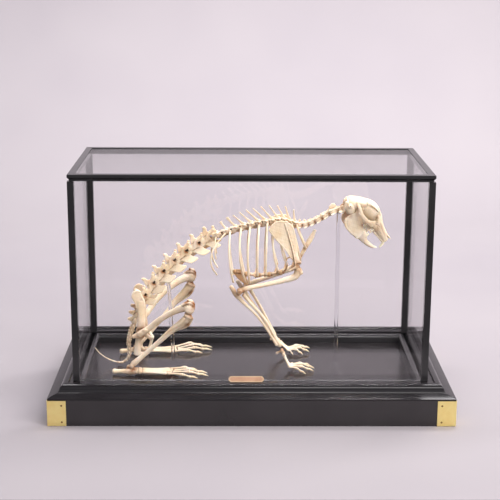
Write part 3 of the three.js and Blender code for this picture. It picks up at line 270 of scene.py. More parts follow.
def remeshed(mesh, voxel):
    """The skin of everything in the mesh, as one even net."""
    obj = temporary(mesh)
    step = obj.modifiers.new("skin", "REMESH")
    step.mode = "VOXEL"
    step.voxel_size = voxel * MM
    result = evaluated(obj)
    discard(obj)
    return result


def carved(mesh, cutter):
    """What is left of a closed mesh once another is cut out of it."""
    body = temporary(mesh)
    tool = temporary(cutter)
    step = body.modifiers.new("carve", "BOOLEAN")
    step.operation = "DIFFERENCE"
    step.solver = "MANIFOLD"
    step.object = tool
    result = evaluated(body)
    discard(body)
    discard(tool)
    return result


def arrays(mesh):
    points = np.empty(len(mesh.vertices) * 3)
    mesh.vertices.foreach_get("co", points)
    edges = np.empty(len(mesh.edges) * 2, dtype=np.int32)
    mesh.edges.foreach_get("vertices", edges)
    return points.reshape(-1, 3), edges.reshape(-1, 2)


def relax(points, edges, times, amount=0.5):
    """Each point moved towards the middle of its neighbours."""
    count = len(points)
    degree = np.maximum(np.bincount(edges.ravel(), minlength=count), 1)[:, None]
    for _ in range(times):
        total = np.column_stack([np.bincount(edges[:, 0], points[edges[:, 1], k],
            count) + np.bincount(edges[:, 1], points[edges[:, 0], k], count) for k in range(3)])
        points = points + amount * (total / degree - points)
    return points


def evened(points, edges):
    """Smoothing in two rounds that keeps thin bone from shrinking."""
    for _ in range(2):
        points = relax(points, edges, 1, 0.5)
        points = relax(points, edges, 1, -0.52)
    return points


# Places where glue and old cartilage have browned the bone, and patches of painted shade on the skull:
# point, reach, strength
STAINS_AND_SHADE = []


def stain_and_shade(point, reach, strength=1.0):
    STAINS_AND_SHADE.append((*point, reach, strength))


def stain_and_shade_at(points):
    level = np.zeros(len(points))
    for x, y, z, reach, strength in STAINS_AND_SHADE:
        away = np.sum((points - np.array([x, y, z]) * MM) ** 2, axis=1) / (reach * MM) ** 2
        level = np.maximum(level, strength * np.exp(-away))
    return level


def normals_of(mesh):
    normals = np.empty(len(mesh.vertices) * 3)
    mesh.vertex_normals.foreach_get("vector", normals)
    return normals.reshape(-1, 3)


def add_layer(mesh, name, values):
    layer = mesh.attributes.new(name, "FLOAT", "POINT")
    layer.data.foreach_set("value", np.ascontiguousarray(values, dtype=np.float32))


HOLLOW_DEPTH = 0.35


def finish_bone(mesh, relief=0.10):
    """Gentle unevenness, and the layers that the bone material reads."""
    points, edges = arrays(mesh)
    normals = normals_of(mesh)
    p = points / MM
    wave = (np.sin(p @ np.array([0.61, 0.37, 0.52]) + 1.3) * np.sin(p @ np.array([-0.33, 0.71,
        0.45]) + 0.4) + 0.6 * np.sin(p @ np.array([1.31, -0.92, 0.77]) + 2.1) * np.sin(p @ np.array([0.58,
        1.17, -1.22])))
    points = points + normals * (relief * MM * wave)[:, None]
    mesh.vertices.foreach_set("co", points.ravel())
    mesh.update()
    # How far each point lies below its smoothed neighbours; the bone material darkens these hollows as
    # painted shade.
    flat = relax(points, edges, 10)
    hollow_shade = np.sum((flat - points) * normals_of(mesh), axis=1) / (HOLLOW_DEPTH * MM)
    add_layer(mesh, "hollow_shade", np.clip(hollow_shade, -1, 1))
    add_layer(mesh, "stain_and_shade", np.clip(stain_and_shade_at(points), 0, 1))


def link(name, mesh, node, material):
    obj = bpy.data.objects.new(name, mesh)
    bpy.context.scene.collection.objects.link(obj)
    mesh.materials.clear()
    mesh.materials.append(material)
    mesh.polygons.foreach_set("use_smooth", [True] * len(mesh.polygons))
    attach(obj, "root")
    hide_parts(node)


def bone(name, node, parts, voxel=0.6, holes=(), material=None):
    """One bone whose shapes are grown together into a single skin."""
    grain = voxel * 1.0
    mesh = remeshed(mesh_of(name, parts), grain)
    if len(holes):
        cutter = remeshed(mesh_of(name, holes), grain)
        mesh = remeshed(carved(mesh, cutter), grain)
    points, edges = arrays(mesh)
    mesh.vertices.foreach_set("co", evened(points, edges).ravel())
    mesh.update()
    finish_bone(mesh)
    mesh.name = name
    link(name, mesh, node, material or BONE)


def strand(name, node, parts, relief=0.08, material=None):
    """A piece of plain closed shapes that needs no growing together."""
    mesh = mesh_of(name, parts)
    face_outwards(mesh)
    finish_bone(mesh, relief)
    link(name, mesh, node, material or BONE)


# Materials

def new_node(tree, kind, **values):
    """A new node with constant inputs; an underscore in an input's name stands for a space."""
    made = tree.nodes.new("ShaderNode" + kind)
    for name, value in values.items():
        made.inputs[name.replace("_", " ")].default_value = value
    return made


def join(tree, *pairs):
    """Links each output to its socket."""
    for output, socket in pairs:
        tree.links.new(output, socket)


def material(name):
    made = bpy.data.materials.new(name)
    made.use_nodes = True
    tree = made.node_tree
    shader = next(n for n in tree.nodes if n.type == "BSDF_PRINCIPLED")
    return made, tree, shader


def noise_node(tree, where, scale, detail=4.0, rough=0.55):
    made = new_node(tree, "TexNoise", Scale=scale, Detail=detail, Roughness=rough)
    join(tree, (where, made.inputs["Vector"]))
    return made.outputs["Fac"]


def object_place(tree, stretch=(1, 1, 1)):
    """Coordinates in the object's own frame."""
    mapping = new_node(tree, "Mapping", Scale=stretch)
    join(tree, (new_node(tree, "TexCoord").outputs["Object"], mapping.inputs["Vector"]))
    return mapping.outputs["Vector"]


def levels(tree, value, low, high, to_low=0.0, to_high=1.0):
    made = new_node(tree, "MapRange", From_Min=low, From_Max=high, To_Min=to_low, To_Max=to_high)
    join(tree, (value, made.inputs["Value"]))
    return made.outputs["Result"]


def product(tree, a, b, operation="MULTIPLY"):
    made = tree.nodes.new("ShaderNodeMath")
    made.operation = operation
    for value, socket in zip((a, b), made.inputs):
        if hasattr(value, "is_output"):
            tree.links.new(value, socket)
        else:
            socket.default_value = value
    return made.outputs["Value"]


def mixed(tree, amount, a, b):
    made = tree.nodes.new("ShaderNodeMix")
    made.data_type = "RGBA"
    tree.links.new(amount, made.inputs["Factor"])
    for value, socket in ((a, made.inputs["A"]), (b, made.inputs["B"])):
        if hasattr(value, "is_output"):
            tree.links.new(value, socket)
        else:
            socket.default_value = (*value, 1.0)
    return made.outputs["Result"]


def read_layer(tree, name):
    made = tree.nodes.new("ShaderNodeAttribute")
    made.attribute_name = name
    return made.outputs["Fac"]


def bump(tree, shader, height, strength, distance):
    made = new_node(tree, "Bump", Strength=strength, Distance=distance)
    join(tree, (height, made.inputs["Height"]), (made.outputs["Normal"], shader.inputs["Normal"]))


def srgb(r, g, b):
    return tuple(((c / 255 + 0.055) / 1.055) ** 2.4 if c > 10 else c / 255 / 12.92 for c in (r, g, b))


def bone_material(name, pale, warm, brown, stain_and_shade_gain, rough=0.56):
    """Ivory with warm clouds, brown stains and a few patches of painted shade, and painted shade as
    deeper brown in hollows, from three colours of 0 to 255.
    """
    made, tree, shader = material(name)
    pale, warm, brown = srgb(*pale), srgb(*warm), srgb(*brown)
    place = object_place(tree)
    broad = noise_node(tree, place, 38.0, 3.0)
    patches = noise_node(tree, place, 140.0, 5.0)
    grain = noise_node(tree, place, 900.0, 4.0)
    hollow_shade = levels(tree, read_layer(tree, "hollow_shade"), 0.05, 0.75)
    stain_and_shade_mask = read_layer(tree, "stain_and_shade")
    colour = mixed(tree, levels(tree, broad, 0.35, 0.7), pale, warm)
    # Brown from the stain layer: real stains, and on the skull a few patches of painted shade.
    patchy = product(tree, stain_and_shade_mask, levels(tree, patches, 0.25, 0.65, 0.35, 1.25))
    colour = mixed(tree, product(tree, patchy, stain_and_shade_gain), colour, brown)
    # Painted shade: hollows darkened towards a deep brown.
    colour = mixed(tree, product(tree, hollow_shade, 0.8), colour, tuple(0.55 * c for c in brown))
    flecks = levels(tree, noise_node(tree, place, 420.0, 2.0), 0.66, 0.78)
    colour = mixed(tree, product(tree, flecks, 0.4), colour, brown)
    tree.links.new(colour, shader.inputs["Base Color"])
    tree.links.new(levels(tree, patches, 0.3, 0.7, rough - 0.08, rough + 0.12),
        shader.inputs["Roughness"])
    shader.inputs["Specular IOR Level"].default_value = 0.35
    shader.inputs["Subsurface Weight"].default_value = 0.3
    shader.inputs["Subsurface Radius"].default_value = (1.0, 0.62, 0.4)
    shader.inputs["Subsurface Scale"].default_value = 0.004
    height = product(tree, levels(tree, patches, 0, 1, 0, 0.6), levels(tree, grain, 0, 1, 0, 0.4), "ADD")
    bump(tree, shader, height, 0.35, 0.0006)
    return made


BONE = bone_material("bone_ivory", (240, 224, 202), (227, 204, 168), (142, 94, 50), 1.5)
CARTILAGE = bone_material("cartilage_tan", (214, 182, 142), (190, 150, 106), (150, 104, 64), 0.5, 0.42)
# Dark brown for the cord in the backbone's canal: painted shade at the openings between the vertebrae.
CANAL_SHADE = bone_material("dark_canal_shade", (92, 70, 50), (70, 50, 34), (44, 30, 20), 0.5, 0.5)
ENAMEL = bone_material("tooth_ivory", (248, 238, 216), (240, 222, 186), (190, 148, 96), 0.5, 0.32)
HORN = bone_material("claw_horn", (240, 222, 190), (222, 196, 156), (170, 128, 84), 0.7, 0.38)

# Skull and lower jaw: along runs from the back of the skull to the nose, up towards its roof
HEAD = {"x": 141.0, "z": 291.0, "pitch": 0.733}
SIN_HEAD = math.sin(HEAD["pitch"])
COS_HEAD = math.cos(HEAD["pitch"])


def head_point(along, across, up):
    x = HEAD["x"] + along * COS_HEAD + up * SIN_HEAD
    z = HEAD["z"] - along * SIN_HEAD + up * COS_HEAD
    return mid(x, z, across)


def head_tube(stations, side=1, **options):
    return tube([(*head_point(u, side * v, w), wide, deep) for u, v, w, wide, deep in stations],
        **options)


def head_plate(outline, thick, across):
    def place(u, v, out):
        return head_point(u, across + out, v)
    return plate(outline, thick, place)


HEAD_UP = (SIN_HEAD, 0, COS_HEAD)


def skull_side(side):
    """Cheek arch, brow, ear region and the bones of the face on one side."""
    arch = head_tube([(52, 10, 15, 1.8, 5.4), (47, 18.4, 13, 1.6, 5.2), (42, 21.6, 12, 1.3, 4.2),
        (34, 22.6, 11.8, 1.2, 3.5), (24, 22.2, 14, 1.2, 3.2), (15.5, 19.6, 19, 1.3, 2.6),
        (10, 14.6, 21.2, 2, 2.4)], side, sides=16)
    tip = head_tube([(26, 22.4, 12.4, 1.0, 2.2), (19.5, 21.8, 12.8, 0.8, 1.3)], side)
    lacrimal = head_tube([(50, 11.6, 23, 1.6, 2.6), (47, 14.6, 27.4, 1.1, 1.6)], side)

    def brow_place(u, v, out):
        return head_point(u, side * v,
            31.6 + 5.2 * math.sin(math.pi * (u - 15) / 33) - 0.04 * (v - 12) ** 2 + out)

    brow = plate([(17.5, 13.4), (19.5, 16.4), (25, 18.6), (32, 19.2), (39, 17.4), (43.6, 14.2),
        (41, 12.6), (38, 13.2), (36, 9.6), (30, 8.6), (27, 10.4), (24, 13.6), (20.6, 12.8)], 1.5,
        brow_place)
    bulla = ball(head_point(6.9, side * 11, 8.2), (8, 6.6, 10.2))
    meatus = head_tube([(6, 12, 9.6, 3.6, 3.6), (3, 18, 11.2, 2.6, 2.6)], side, across=HEAD_UP, dome=0.5)
    mastoid = head_tube([(-3.4, 12.4, 12, 2.4, 3.4), (-1.4, 12.4, 5.4, 1.6, 2.4),
        (2.4, 11.4, -3, 1, 1.1)], side)
    condyle = ball(head_point(-2.4, side * 4.4, 1.4), (3, 2.8, 3.8), HEAD["pitch"])
    eye_wall = ball(head_point(32.6, side * 9.6, 24.8), (15.6, 8.4, 11.8), HEAD["pitch"])
    pterygoid = head_tube([(42, 5, 6.6, 0.9, 3.6), (32, 4.8, 7.6, 0.9, 4.8), (23, 4.4, 8, 0.8, 3),
        (18, 4.6, 4.6, 0.7, 1.2)], side)
    upper_jaw = head_tube([(42, 8.4, 11, 3, 5), (50, 9.4, 11.5, 3.2, 6.4), (60, 8.2, 9.4, 2.4, 4.6)],
        side)
    bar = head_tube([(60, 5.6, 5.6, 2, 2.4), (70, 3.6, 3.6, 2, 2.4), (80, 2.6, 3.6, 2.6, 3.4)], side)
    premaxilla = head_tube([(83, 3, 5, 2.4, 3.6), (80, 5.2, 11, 1.5, 2.4), (70, 8, 17, 1.2, 2),
        (58, 8.6, 23, 1.1, 1.8)], side)
    squamosal = head_tube([(9, 14, 21, 2.4, 3.6), (18, 15.2, 27, 1.6, 3.6), (20, 14.4, 31, 1.2, 2)], side)
    return [arch, tip, lacrimal, brow, bulla, meatus, mastoid, condyle, eye_wall, pterygoid, upper_jaw,
        bar, premaxilla, squamosal]


def build_skull():
    cranium = head_tube([(-3.4, 0, 9.6, 7.5, 4.2), (-1, 0, 12, 12.4, 9.2), (7, 0, 15.8, 15.6, 12),
        (18, 0, 20.6, 15.8, 13.4), (27, 0, 23.6, 14.6, 13.6), (37, 0, 23.4, 13.4, 14),
        (46, 0, 20.6, 11.6, 13.8), (52.5, 0, 17.6, 11.2, 12.2), (63, 0, 13.8, 9.8, 9.4),
        (74, 0, 10.4, 8, 8), (83, 0, 7.4, 5.8, 6.2)], sides=28, per_span=5)
    nasals = [head_tube([(50, 2, 30.4, 3.6, 1.6), (60, 4, 23.6, 4.2, 1.4), (74, 3.6, 17.2, 3.8, 1.2),
        (84, 2.6, 14.6, 2.6, 0.9), (89, 1.6, 13.8, 1.4, 0.6)], side) for side in (-1, 1)]
    forehead = head_tube([(49, 0, 31.6, 9, 2), (40, 0, 36.4, 10, 2), (30, 0, 37.6, 10, 1.8),
        (20, 0, 34.4, 10, 1.6)])
    crest = head_tube([(-6.4, 0, 10, 6.4, 1.7), (-6.6, 0, 13.4, 5.6, 1.7), (-4.4, 0, 16.6, 5, 1.6)])
    ridge = head_tube([(-5.4, 0, 16.2, 3.2, 1.2), (2, 0, 25.6, 1.4, 1), (12, 0, 31, 1.2, 0.8)])
    occiput = head_tube([(-3.4, -12, 13.6, 1.4, 1.8), (-6, -6, 15.4, 1.4, 1.6), (-6.8, 0, 15.8, 1.5, 1.6),
        (-6, 6, 15.4, 1.4, 1.6), (-3.4, 12, 13.6, 1.4, 1.8)], across=HEAD_UP)
    parts = [cranium, *nasals, forehead, crest, ridge, occiput, *skull_side(-1), *skull_side(1)]
    holes = [ball(head_point(-8, 0, 6.6), (5.4, 5, 4.2), HEAD["pitch"]),
        ball(head_point(87, 0, 9.6), (6, 3.6, 3.2), HEAD["pitch"] + 0.4),
        head_tube([(33, -18, 13.4, 1.6, 1.8), (33, 18, 13.4, 1.6, 1.8)], across=HEAD_UP)]
    random = np.random.default_rng(7)
    for side in (-1, 1):
        holes += [head_tube([(3.6, 15.6, 10.8, 1, 1), (2.4, 23, 11.6, 1.1, 1.1)], side, across=HEAD_UP),
            head_tube([(66, 3.8, 1, 1.7, 4), (77, 2.6, 1, 1.3, 3)], side)]
        for row in range(5):
            for column in range(7 - row):
                along = 53.5 + 2.9 * column + 1.4 * (row % 2) + random.uniform(-0.5, 0.5)
                up = 8.6 + 2.7 * row + random.uniform(-0.4, 0.4) - 0.1 * column
                size = random.uniform(0.75, 1.15)
                depth = 10.6 - 0.14 * (along - 52)
                holes.append(ball(head_point(along, side * depth, up), (size, 2.4, 0.8 * size),
                    HEAD["pitch"], 8, 6))
    bone("skull", "skull", parts, 0.5, holes)
    teeth = []
    for side in (-1, 1):
        for i in range(5):
            along = 42.6 + 3.5 * i
            teeth.append(head_tube([(along, 8.6, 7.5, 2.7, 1.4), (along, 8.9, 3.6, 2.6, 1.4),
                (along, 9.2, 0.9, 2.3, 1.3)], side, sides=12, dome=0.3))
    strand("upper_cheek_teeth", "skull", teeth, 0.03, ENAMEL)
    incisors = [head_tube([(76, 2.3, 8.6, 1.9, 2), (82.4, 2.3, 5.6, 2.05, 2.1), (85, 2.3, 0.8, 2, 1.7),
        (86, 2.3, -8, 1.8, 0.7)], side, sides=14, dome=0.3) for side in (-1, 1)]
    strand("upper_incisors", "skull", incisors, 0.02, ENAMEL)


JAW_SKEW = 2.6


def jaw_side(side):
    back = JAW_SKEW if side > 0 else 0.0
    outline = [(17, 13.6), (22.4, 14), (29, 8), (37.6, 1.6), (45, -1.4), (48, -10), (47, -19.6),
        (36, -18), (26, -18.4), (16.8, -14), (10.8, -5), (13.4, 2.4), (15.4, 7)]
    ramus = head_plate([(u - back, v) for u, v in outline], 1.9, side * 14.6)
    rim = head_tube([(12.6 - back, 15, -8, 1.3, 1.6), (15 - back, 15, -12.6, 1.5, 1.8),
        (21 - back, 15.2, -16.6, 1.6, 1.8), (32, 14.6, -18.2, 1.7, 1.6), (45, 12.6, -18.4, 1.9, 2)], side)
    front_edge = head_tube([(22.4, 14.6, 12.6, 1, 1.4), (30, 14.6, 6.6, 1.1, 1.4),
        (39, 14.2, 0, 1.5, 1.8)], side)
    condyle = head_tube([(18.4, 14.6, 9, 1.3, 2), (16.4, 14.4, 15, 1.6, 2.4),
        (16.2, 14.2, 18.4, 2.3, 3.4)], side)
    body = head_tube([(40, 13.4, -10.4, 2.2, 8), (46, 12, -10.8, 2.7, 8.4), (51, 10, -11.4, 2.8, 8.2),
        (56, 8, -13.4, 2.8, 6.2), (60.5, 6.2, -15, 2.6, 4.4), (70, 3.2, -15.2, 2.6, 3.2),
        (77, 2.2, -13.8, 2.1, 2.3)], side, sides=16)
    return [ramus, rim, front_edge, condyle, body]


def build_jaw():
    chin = head_tube([(63, 0, -16.4, 5, 2.4), (75, 0, -14.4, 3.4, 2.1)])
    holes = [ball(head_point(57, side * 11, -9.6), (1.2, 2.6, 0.9), HEAD["pitch"], 8, 6)
        for side in (-1, 1)]
    bone("lower_jaw", "mandible", [chin, *jaw_side(-1), *jaw_side(1)], 0.5, holes)
    teeth = []
    for side in (-1, 1):
        for i in range(5):
            along = 41.4 + 3.6 * i
            top = -0.6 - 0.35 * i
            teeth.append(head_tube([(along, 11.6 - 0.4 * i, -7, 1.9, 1.5),
                (along, 11.4 - 0.4 * i, top, 1.8, 1.4)], side, sides=12, dome=0.3))
    strand("lower_cheek_teeth", "mandible", teeth, 0.03, ENAMEL)
    incisors = [head_tube([(73, 2.2, -14.6, 1.9, 1.7), (78.6, 2.2, -13, 1.9, 1.5),
        (82.4, 2.2, -10.4, 1.7, 0.7)], side, sides=14, dome=0.3) for side in (-1, 1)]
    strand("lower_incisors", "mandible", incisors, 0.02, ENAMEL)


# Vertebrae: one is made between two joints, with directions along, across and up of its own
NECK_JOINTS = [(142, 291.5), (134, 290.5), (119.5, 285), (108.5, 278.3), (98, 272.4), (88, 268.4),
    (79, 266.2), (70, 266.4)]
CHEST_JOINTS = [(70, 266.4), (62, 268.8), (54, 271.8), (46, 273.4), (37, 272.6), (27, 270.6),
    (16.4, 269.8), (6, 267.4), (-6, 265.1), (-17.6, 262.6), (-32, 258.4), (-46, 253.6), (-63, 248.3)]
LOIN_JOINTS = [(-63, 248.3), (-81, 238.5), (-100.4, 226.2), (-119.2, 211.4), (-136.1, 194.1),
    (-151.6, 175.6), (-165, 155.5), (-176, 140)]
RUMP_JOINTS = [(-176, 140), (-181, 131), (-184.6, 121.5), (-187, 111)]
RUMP_SIZES = [(8.4, 5), (5.4, 3.6)]
TAIL_JOINTS = [(-187, 111), (-189.6, 102.5), (-191.4, 94), (-192.4, 86), (-192.4, 78.4), (-192, 71),
    (-191.4, 64), (-191.6, 57.4), (-194, 51.4), (-198.4, 46.8), (-204, 44.4), (-210, 44.6)]
TAIL_SIZE = (4.2, 2.1)
TAIL_TIP = [(-216.6, 46.6), (-224.4, 50), (-232.2, 55), (-239.2, 61), (-245.4, 69.4)]
BODY_DROP = {"neck": 3.4, "chest": 4.2, "loin": 5.6, "rump": 4.6}


class Segment:
    """The space of one vertebra between two joints."""

    def __init__(self, joints, index):
        (hx, hz), (tx, tz) = joints[index], joints[index + 1]
        self.length = math.hypot(hx - tx, hz - tz)
        self.dx, self.dz = (hx - tx) / self.length, (hz - tz) / self.length
        self.cx, self.cz = (hx + tx) / 2, (hz + tz) / 2
        self.along = (self.dx, 0, self.dz)

    def at(self, forward, across, up):
        x = self.cx + forward * self.dx - up * self.dz
        z = self.cz + forward * self.dz + up * self.dx
        return mid(x, z, across)

    def tube(self, stations, side=1, **options):
        return tube([(*self.at(u, side * v, w), wide, deep) for u, v, w, wide, deep in stations],
            **options)


def centrum(seg, drop, wide, deep, waist=0.78):
    half = 0.5 * seg.length - 0.55
    return seg.tube([(half, 0, -drop, wide, deep), (0.62 * half, 0, -drop, 0.92 * wide, 0.92 * deep),
        (0, 0, -drop + 0.4, waist * wide, waist * deep),
        (-0.62 * half, 0, -drop, 0.92 * wide, 0.92 * deep), (-half, 0, -drop, wide, deep)], sides=16,
        per_span=3, dome=0.18)


def build_neck():
    count = len(NECK_JOINTS) - 1
    for i in range(count):
        seg = Segment(NECK_JOINTS, i)
        half = 0.5 * seg.length
        last = i / (count - 1)
        parts = []
        if i > 0:
            parts.append(centrum(seg, BODY_DROP["neck"], 4.6, 3.3))
        else:
            parts.append(seg.tube([(0.7 * half, 0, -5.2, 5.4, 1.8), (-0.7 * half, 0, -5.2, 5.4, 1.8)]))
        for side in (-1, 1):
            parts.append(seg.tube([(0.8 * half, 4.4, -1.6, 1.5, 2.6), (-0.8 * half, 4.4, -1.6, 1.5, 2.6)],
                side))
            reach = 12.5 if i == 0 else 8.6
            parts.append(seg.tube([(0.35 * half, 3.5, -2.8, 3.6 if i == 0 else 2.6, 1.6),
                (-0.3 * half, 0.7 * reach, -3.6 - last, 3.4 if i == 0 else 2.4, 1.1),
                (-0.8 * half, reach, -4.0 - last, 2.6 if i == 0 else 1.6, 0.8)], side, across=seg.along))
            if i > 0:
                parts += [seg.tube([(0.55 * half, 4, 0.8, 1.8, 1.6), (1.05 * half, 4.8, 2.0, 1.9, 1.2)],
                    side), seg.tube([(-0.45 * half, 4, 2, 1.8, 1.5), (-1.0 * half, 4.6, 2.8, 1.9, 1.2)],
                    side)]
        parts.append(seg.tube([(0.75 * half, 0, 2, 4.6, 1.2), (-0.75 * half, 0, 2.2, 4.8, 1.3)]))
        if i == 1:
            parts.append(seg.tube([(0.6 * half, 0, 3, 1, 3), (0, 0, 6.6, 0.8, 6.4),
                (-0.2 * half, 0, 9.4, 0.9, 5)]))
        else:
            rise = 3.6 + 4 * last * last
            parts.append(seg.tube([(0, 0, 1, 1, 2.6), (-0.1 * half, 0, rise, 0.8, 1.2)]))
        hole = seg.tube([(seg.length, 0, 0.1, 2.4, 1.9), (-seg.length, 0, 0.1, 2.4, 1.9)])
        bone(f"neck_vertebra_{i + 1}", "neck_vertebrae", parts, 0.5, [hole])
        stain_and_shade(seg.at(-half, -5, -2), 3.2, 0.85)


CHEST_TIPS = [(64.6, 290), (51.6, 295), (39.3, 296.3), (26, 296.9), (13, 295.6), (0.6, 292.6),
    (-9.5, 290), (-20.1, 286.6), (-29.5, 281.8), (-38.8, 278), (-48.4, 271.5), (-60.9, 265)]


def build_chest_vertebrae():
    for i, tip in enumerate(CHEST_TIPS):
        seg = Segment(CHEST_JOINTS, i)
        half = 0.5 * seg.length
        parts = [centrum(seg, BODY_DROP["chest"], 4.6, 3.6, 0.7)]
        broad = 1.15 if i < 9 else 2.6
        root, top = seg.at(0.1 * half, 0, 2.4), mid(*tip)
        parts.append(tube([station(root, 1.2, 3.2),
            station(shift(blend(root, top, 0.2), (-0.3, 0, 0)), 0.85, 2.0),
            station(shift(blend(root, top, 0.6), (-0.5, 0, 0.3)), 0.75, 0.5 * (1.2 + broad)),
            between(root, top, 0.95, 1.0, broad)], per_span=5))
        for side in (-1, 1):
            parts += [seg.tube([(0.8 * half, 3.6, -1, 1.3, 2.4), (-0.7 * half, 3.6, -0.6, 1.3, 2.4)],
                side), seg.tube([(0.2 * half, 2.6, 2.2, 2.4, 1.7), (0.2 * half, 8.2, 2.8, 1.9, 1.5)],
                side, across=seg.along), seg.tube([(-0.3 * half, 2.8, 2.6, 1.7, 1.3),
                (-1.05 * half, 2.8, 3, 1.6, 1)], side)]
        parts.append(seg.tube([(0.8 * half, 0, 2.6, 4, 1), (-0.7 * half, 0, 2.8, 4, 1.1)]))
        hole = seg.tube([(seg.length, 0, 0.4, 2.2, 1.8), (-seg.length, 0, 0.4, 2.2, 1.8)])
        bone(f"chest_vertebra_{i + 1}", "chest_vertebrae", parts, 0.5, [hole])
        stain_and_shade(seg.at(-half, 0, -4), 6, 0.85)
        stain_and_shade(seg.at(0, -8, 2), 5, 0.55)


RIBS = [((76, 14, 248), (84.5, 4.2, 229)), ((69, 19, 240), (76, 7, 209)), ((58, 20, 240), (67, 14, 211)),
    ((45, 22, 238), (55, 18, 206)), ((33, 24.4, 235), (41, 21, 198)),
    ((22.2, 28.4, 232), (21.5, 21, 192)), ((9, 31, 229), (9, 22, 190)), ((-6, 31.5, 222), (-3, 15, 176)),
    ((-18, 31.5, 222), (-9, 16, 178)), ((-34, 30, 220), (-28, 22, 180)), ((-62, 27, 224), (-53, 22, 192)),
    ((-56.6, 18, 236), (-54.6, 19, 216))]
CARTILAGES = [(2, (65, 4.6, 199)), (3, (52, 4.6, 193)), (4, (37, 4.6, 188.5)), (5, (20, 4.6, 186)),
    (6, (4, 4.6, 186))]


def arc(start, through, stop):
    """Seven points along the even curve that leaves one point, passes a second and ends at a third."""
    pull = tuple(2 * w - 0.5 * (a + b) for a, w, b in zip(start, through, stop))
    shares = [i / 6 for i in range(7)]
    return [blend(blend(start, pull, t), blend(pull, stop, t), t) for t in shares]


def build_ribs():
    for side, label in ((-1, "right"), (1, "left")):
        for i, (bow, end) in enumerate(RIBS):
            seg = Segment(CHEST_JOINTS, i)
            thin = 0.72 if i > 9 else 1.0
            back = 0.2 * max(0, i - 4) if i < 10 else 0.4
            head = seg.at((0.5 - back) * seg.length - 0.6, side * 4.6, -3.4)
            neck = seg.at((0.42 - back) * seg.length, side * 8.5, -0.4)
            tip = mid(end[0], end[2], side * end[1])
            line = arc(neck, mid(bow[0], bow[2], side * bow[1]), tip)
            sizes = [(1.3, 1.7), (1.05, 1.5), (1.05, 1.5), (1.1, 1.55), (1.15, 1.65), (1.2, 1.75),
                (1.35, 1.7)]
            rib = tube([(*head, 1.8, 1.8), (*blend(head, neck, 0.55), 1.0, 1.1),
                *((*point, thin * wide, thin * deep) for point, (wide, deep) in zip(line, sizes))],
                sides=12, per_span=4)
            knob = ball(shift(neck, (0, side * 0.4, 0.6)), (1.7, 1.5, 1.6))
            strand(f"rib_{label}_{i + 1}", f"ribs_{label}", [rib, knob])
            stain_and_shade(tip, 5, 0.8)
            stain_and_shade(head, 6, 0.9)
            stain_and_shade(neck, 4, 0.6)
        for rib, meet in CARTILAGES:
            end = RIBS[rib][1]
            start = mid(end[0], end[2], side * end[1])
            stop = mid(meet[0], meet[2], side * meet[1])
            sag = shift(blend(start, stop, 0.5), (0, 0, -2.5))
            piece = tube([(*start, 1.5, 1.8), (*sag, 1.3, 1.5), (*stop, 1.6, 1.6)], sides=12, per_span=6)
            strand(f"cartilage_{label}_{rib + 1}", f"ribs_{label}", [piece], material=CARTILAGE)


# Breastbone: pale bars between darker knots
KNOTS = [(76, 213, 3.8), (68, 199.6, 4.4), (46, 188.6, 5.2), (28, 185.8, 5.2), (10, 185.2, 5.2),
    (-8, 187, 5), (-26, 191, 4.6)]


def build_breastbone():
    bone("breastbone_front", "breastbone",
        [tube([(*mid(98.6, 256.5), 0.9, 2.4), (*mid(92, 243), 1.2, 4.2), (*mid(84, 229), 1.9, 3.4),
        (*mid(77, 215), 2.2, 2.6)])], 0.6)
    for i, (a, b) in enumerate(zip(KNOTS, KNOTS[1:])):
        start, stop = mid(a[0], a[1]), mid(b[0], b[1])
        bar = tube([(*blend(start, stop, 0.14), 3.8, 3.5), (*blend(start, stop, 0.5), 2.8, 2.5),
            (*blend(start, stop, 0.86), 3.8, 3.5)], sides=14)
        strand(f"breastbone_bar_{i + 1}", "breastbone", [bar])
    knots = [ball(mid(x, z), (0.62 * r, r, 0.82 * r)) for x, z, r in KNOTS]
    strand("breastbone_knots", "breastbone", knots, 0.12, CARTILAGE)
    flap = plate([(-29, 193), (-21, 195), (-14, 192.6), (-4.8, 174), (-7.4, 169.4), (-21.4, 180)], 1.2,
        upright(-1.4))
    bone("breastbone_flap", "breastbone", [flap], 0.5, material=CARTILAGE)


LOIN = {"spine": 16.6, "lean": 7.4, "side_reach": 24.0}


def loin_plates(seg, half, reach):
    """Spine, forward pointing horns and long side processes of one vertebra."""
    k = half / 12
    tall = LOIN["spine"]
    lean = LOIN["lean"]
    spine = plate([(-3 * k, -1), (-k, 4), (2.2 * k, 12), (4.6 * k, tall - 1.6),
        (lean - 1.6 * k, tall + 1.2), (lean + k, tall + 1.4), (lean + 3 * k, tall - 1.6),
        (lean + 2.2 * k, tall - 5), (10.6 * k, 9), (12.4 * k, 7.4), (13 * k, 5), (12.4 * k, 0)], 2.0,
        lambda u, v, out: seg.at(u, out, v))
    knob = ball(seg.at(lean - 0.4 * k, 0, tall - 0.2), (3.2, 1.8, 2.3))
    parts = [spine, knob]
    for side in (-1, 1):
        parts.append(plate([(-2 * k, -3), (3 * k, 4), (9 * k, 6.8), (14 * k, 7.6), (19 * k, 8.8),
            (22.4 * k, 10.6), (24 * k, 9.2), (22.4 * k, 5.4), (18 * k, 3.8), (12 * k, 3), (9.4 * k, 0.6),
            (8 * k, -3)], 2.8, lambda u, v, out: seg.at(u, side * (4.4 + 0.2 * max(v, 0)) + out, v)))
        parts.append(ball(seg.at(22 * k, side * 6.2, 8.6), (2.4, 1.8, 2)))

        def wing(u, v, out):
            far = (v - 3) / (reach - 3)
            return seg.at(u, side * v, -4.8 - 13.0 * far + out)

        parts.append(plate([(-6 * k, 3), (-k, 0.45 * reach), (6 * k, 0.86 * reach), (12 * k, reach),
            (20 * k, reach), (22.6 * k, 0.9 * reach), (17 * k, 0.6 * reach), (9.6 * k, 3)], 1.5, wing))
    return parts


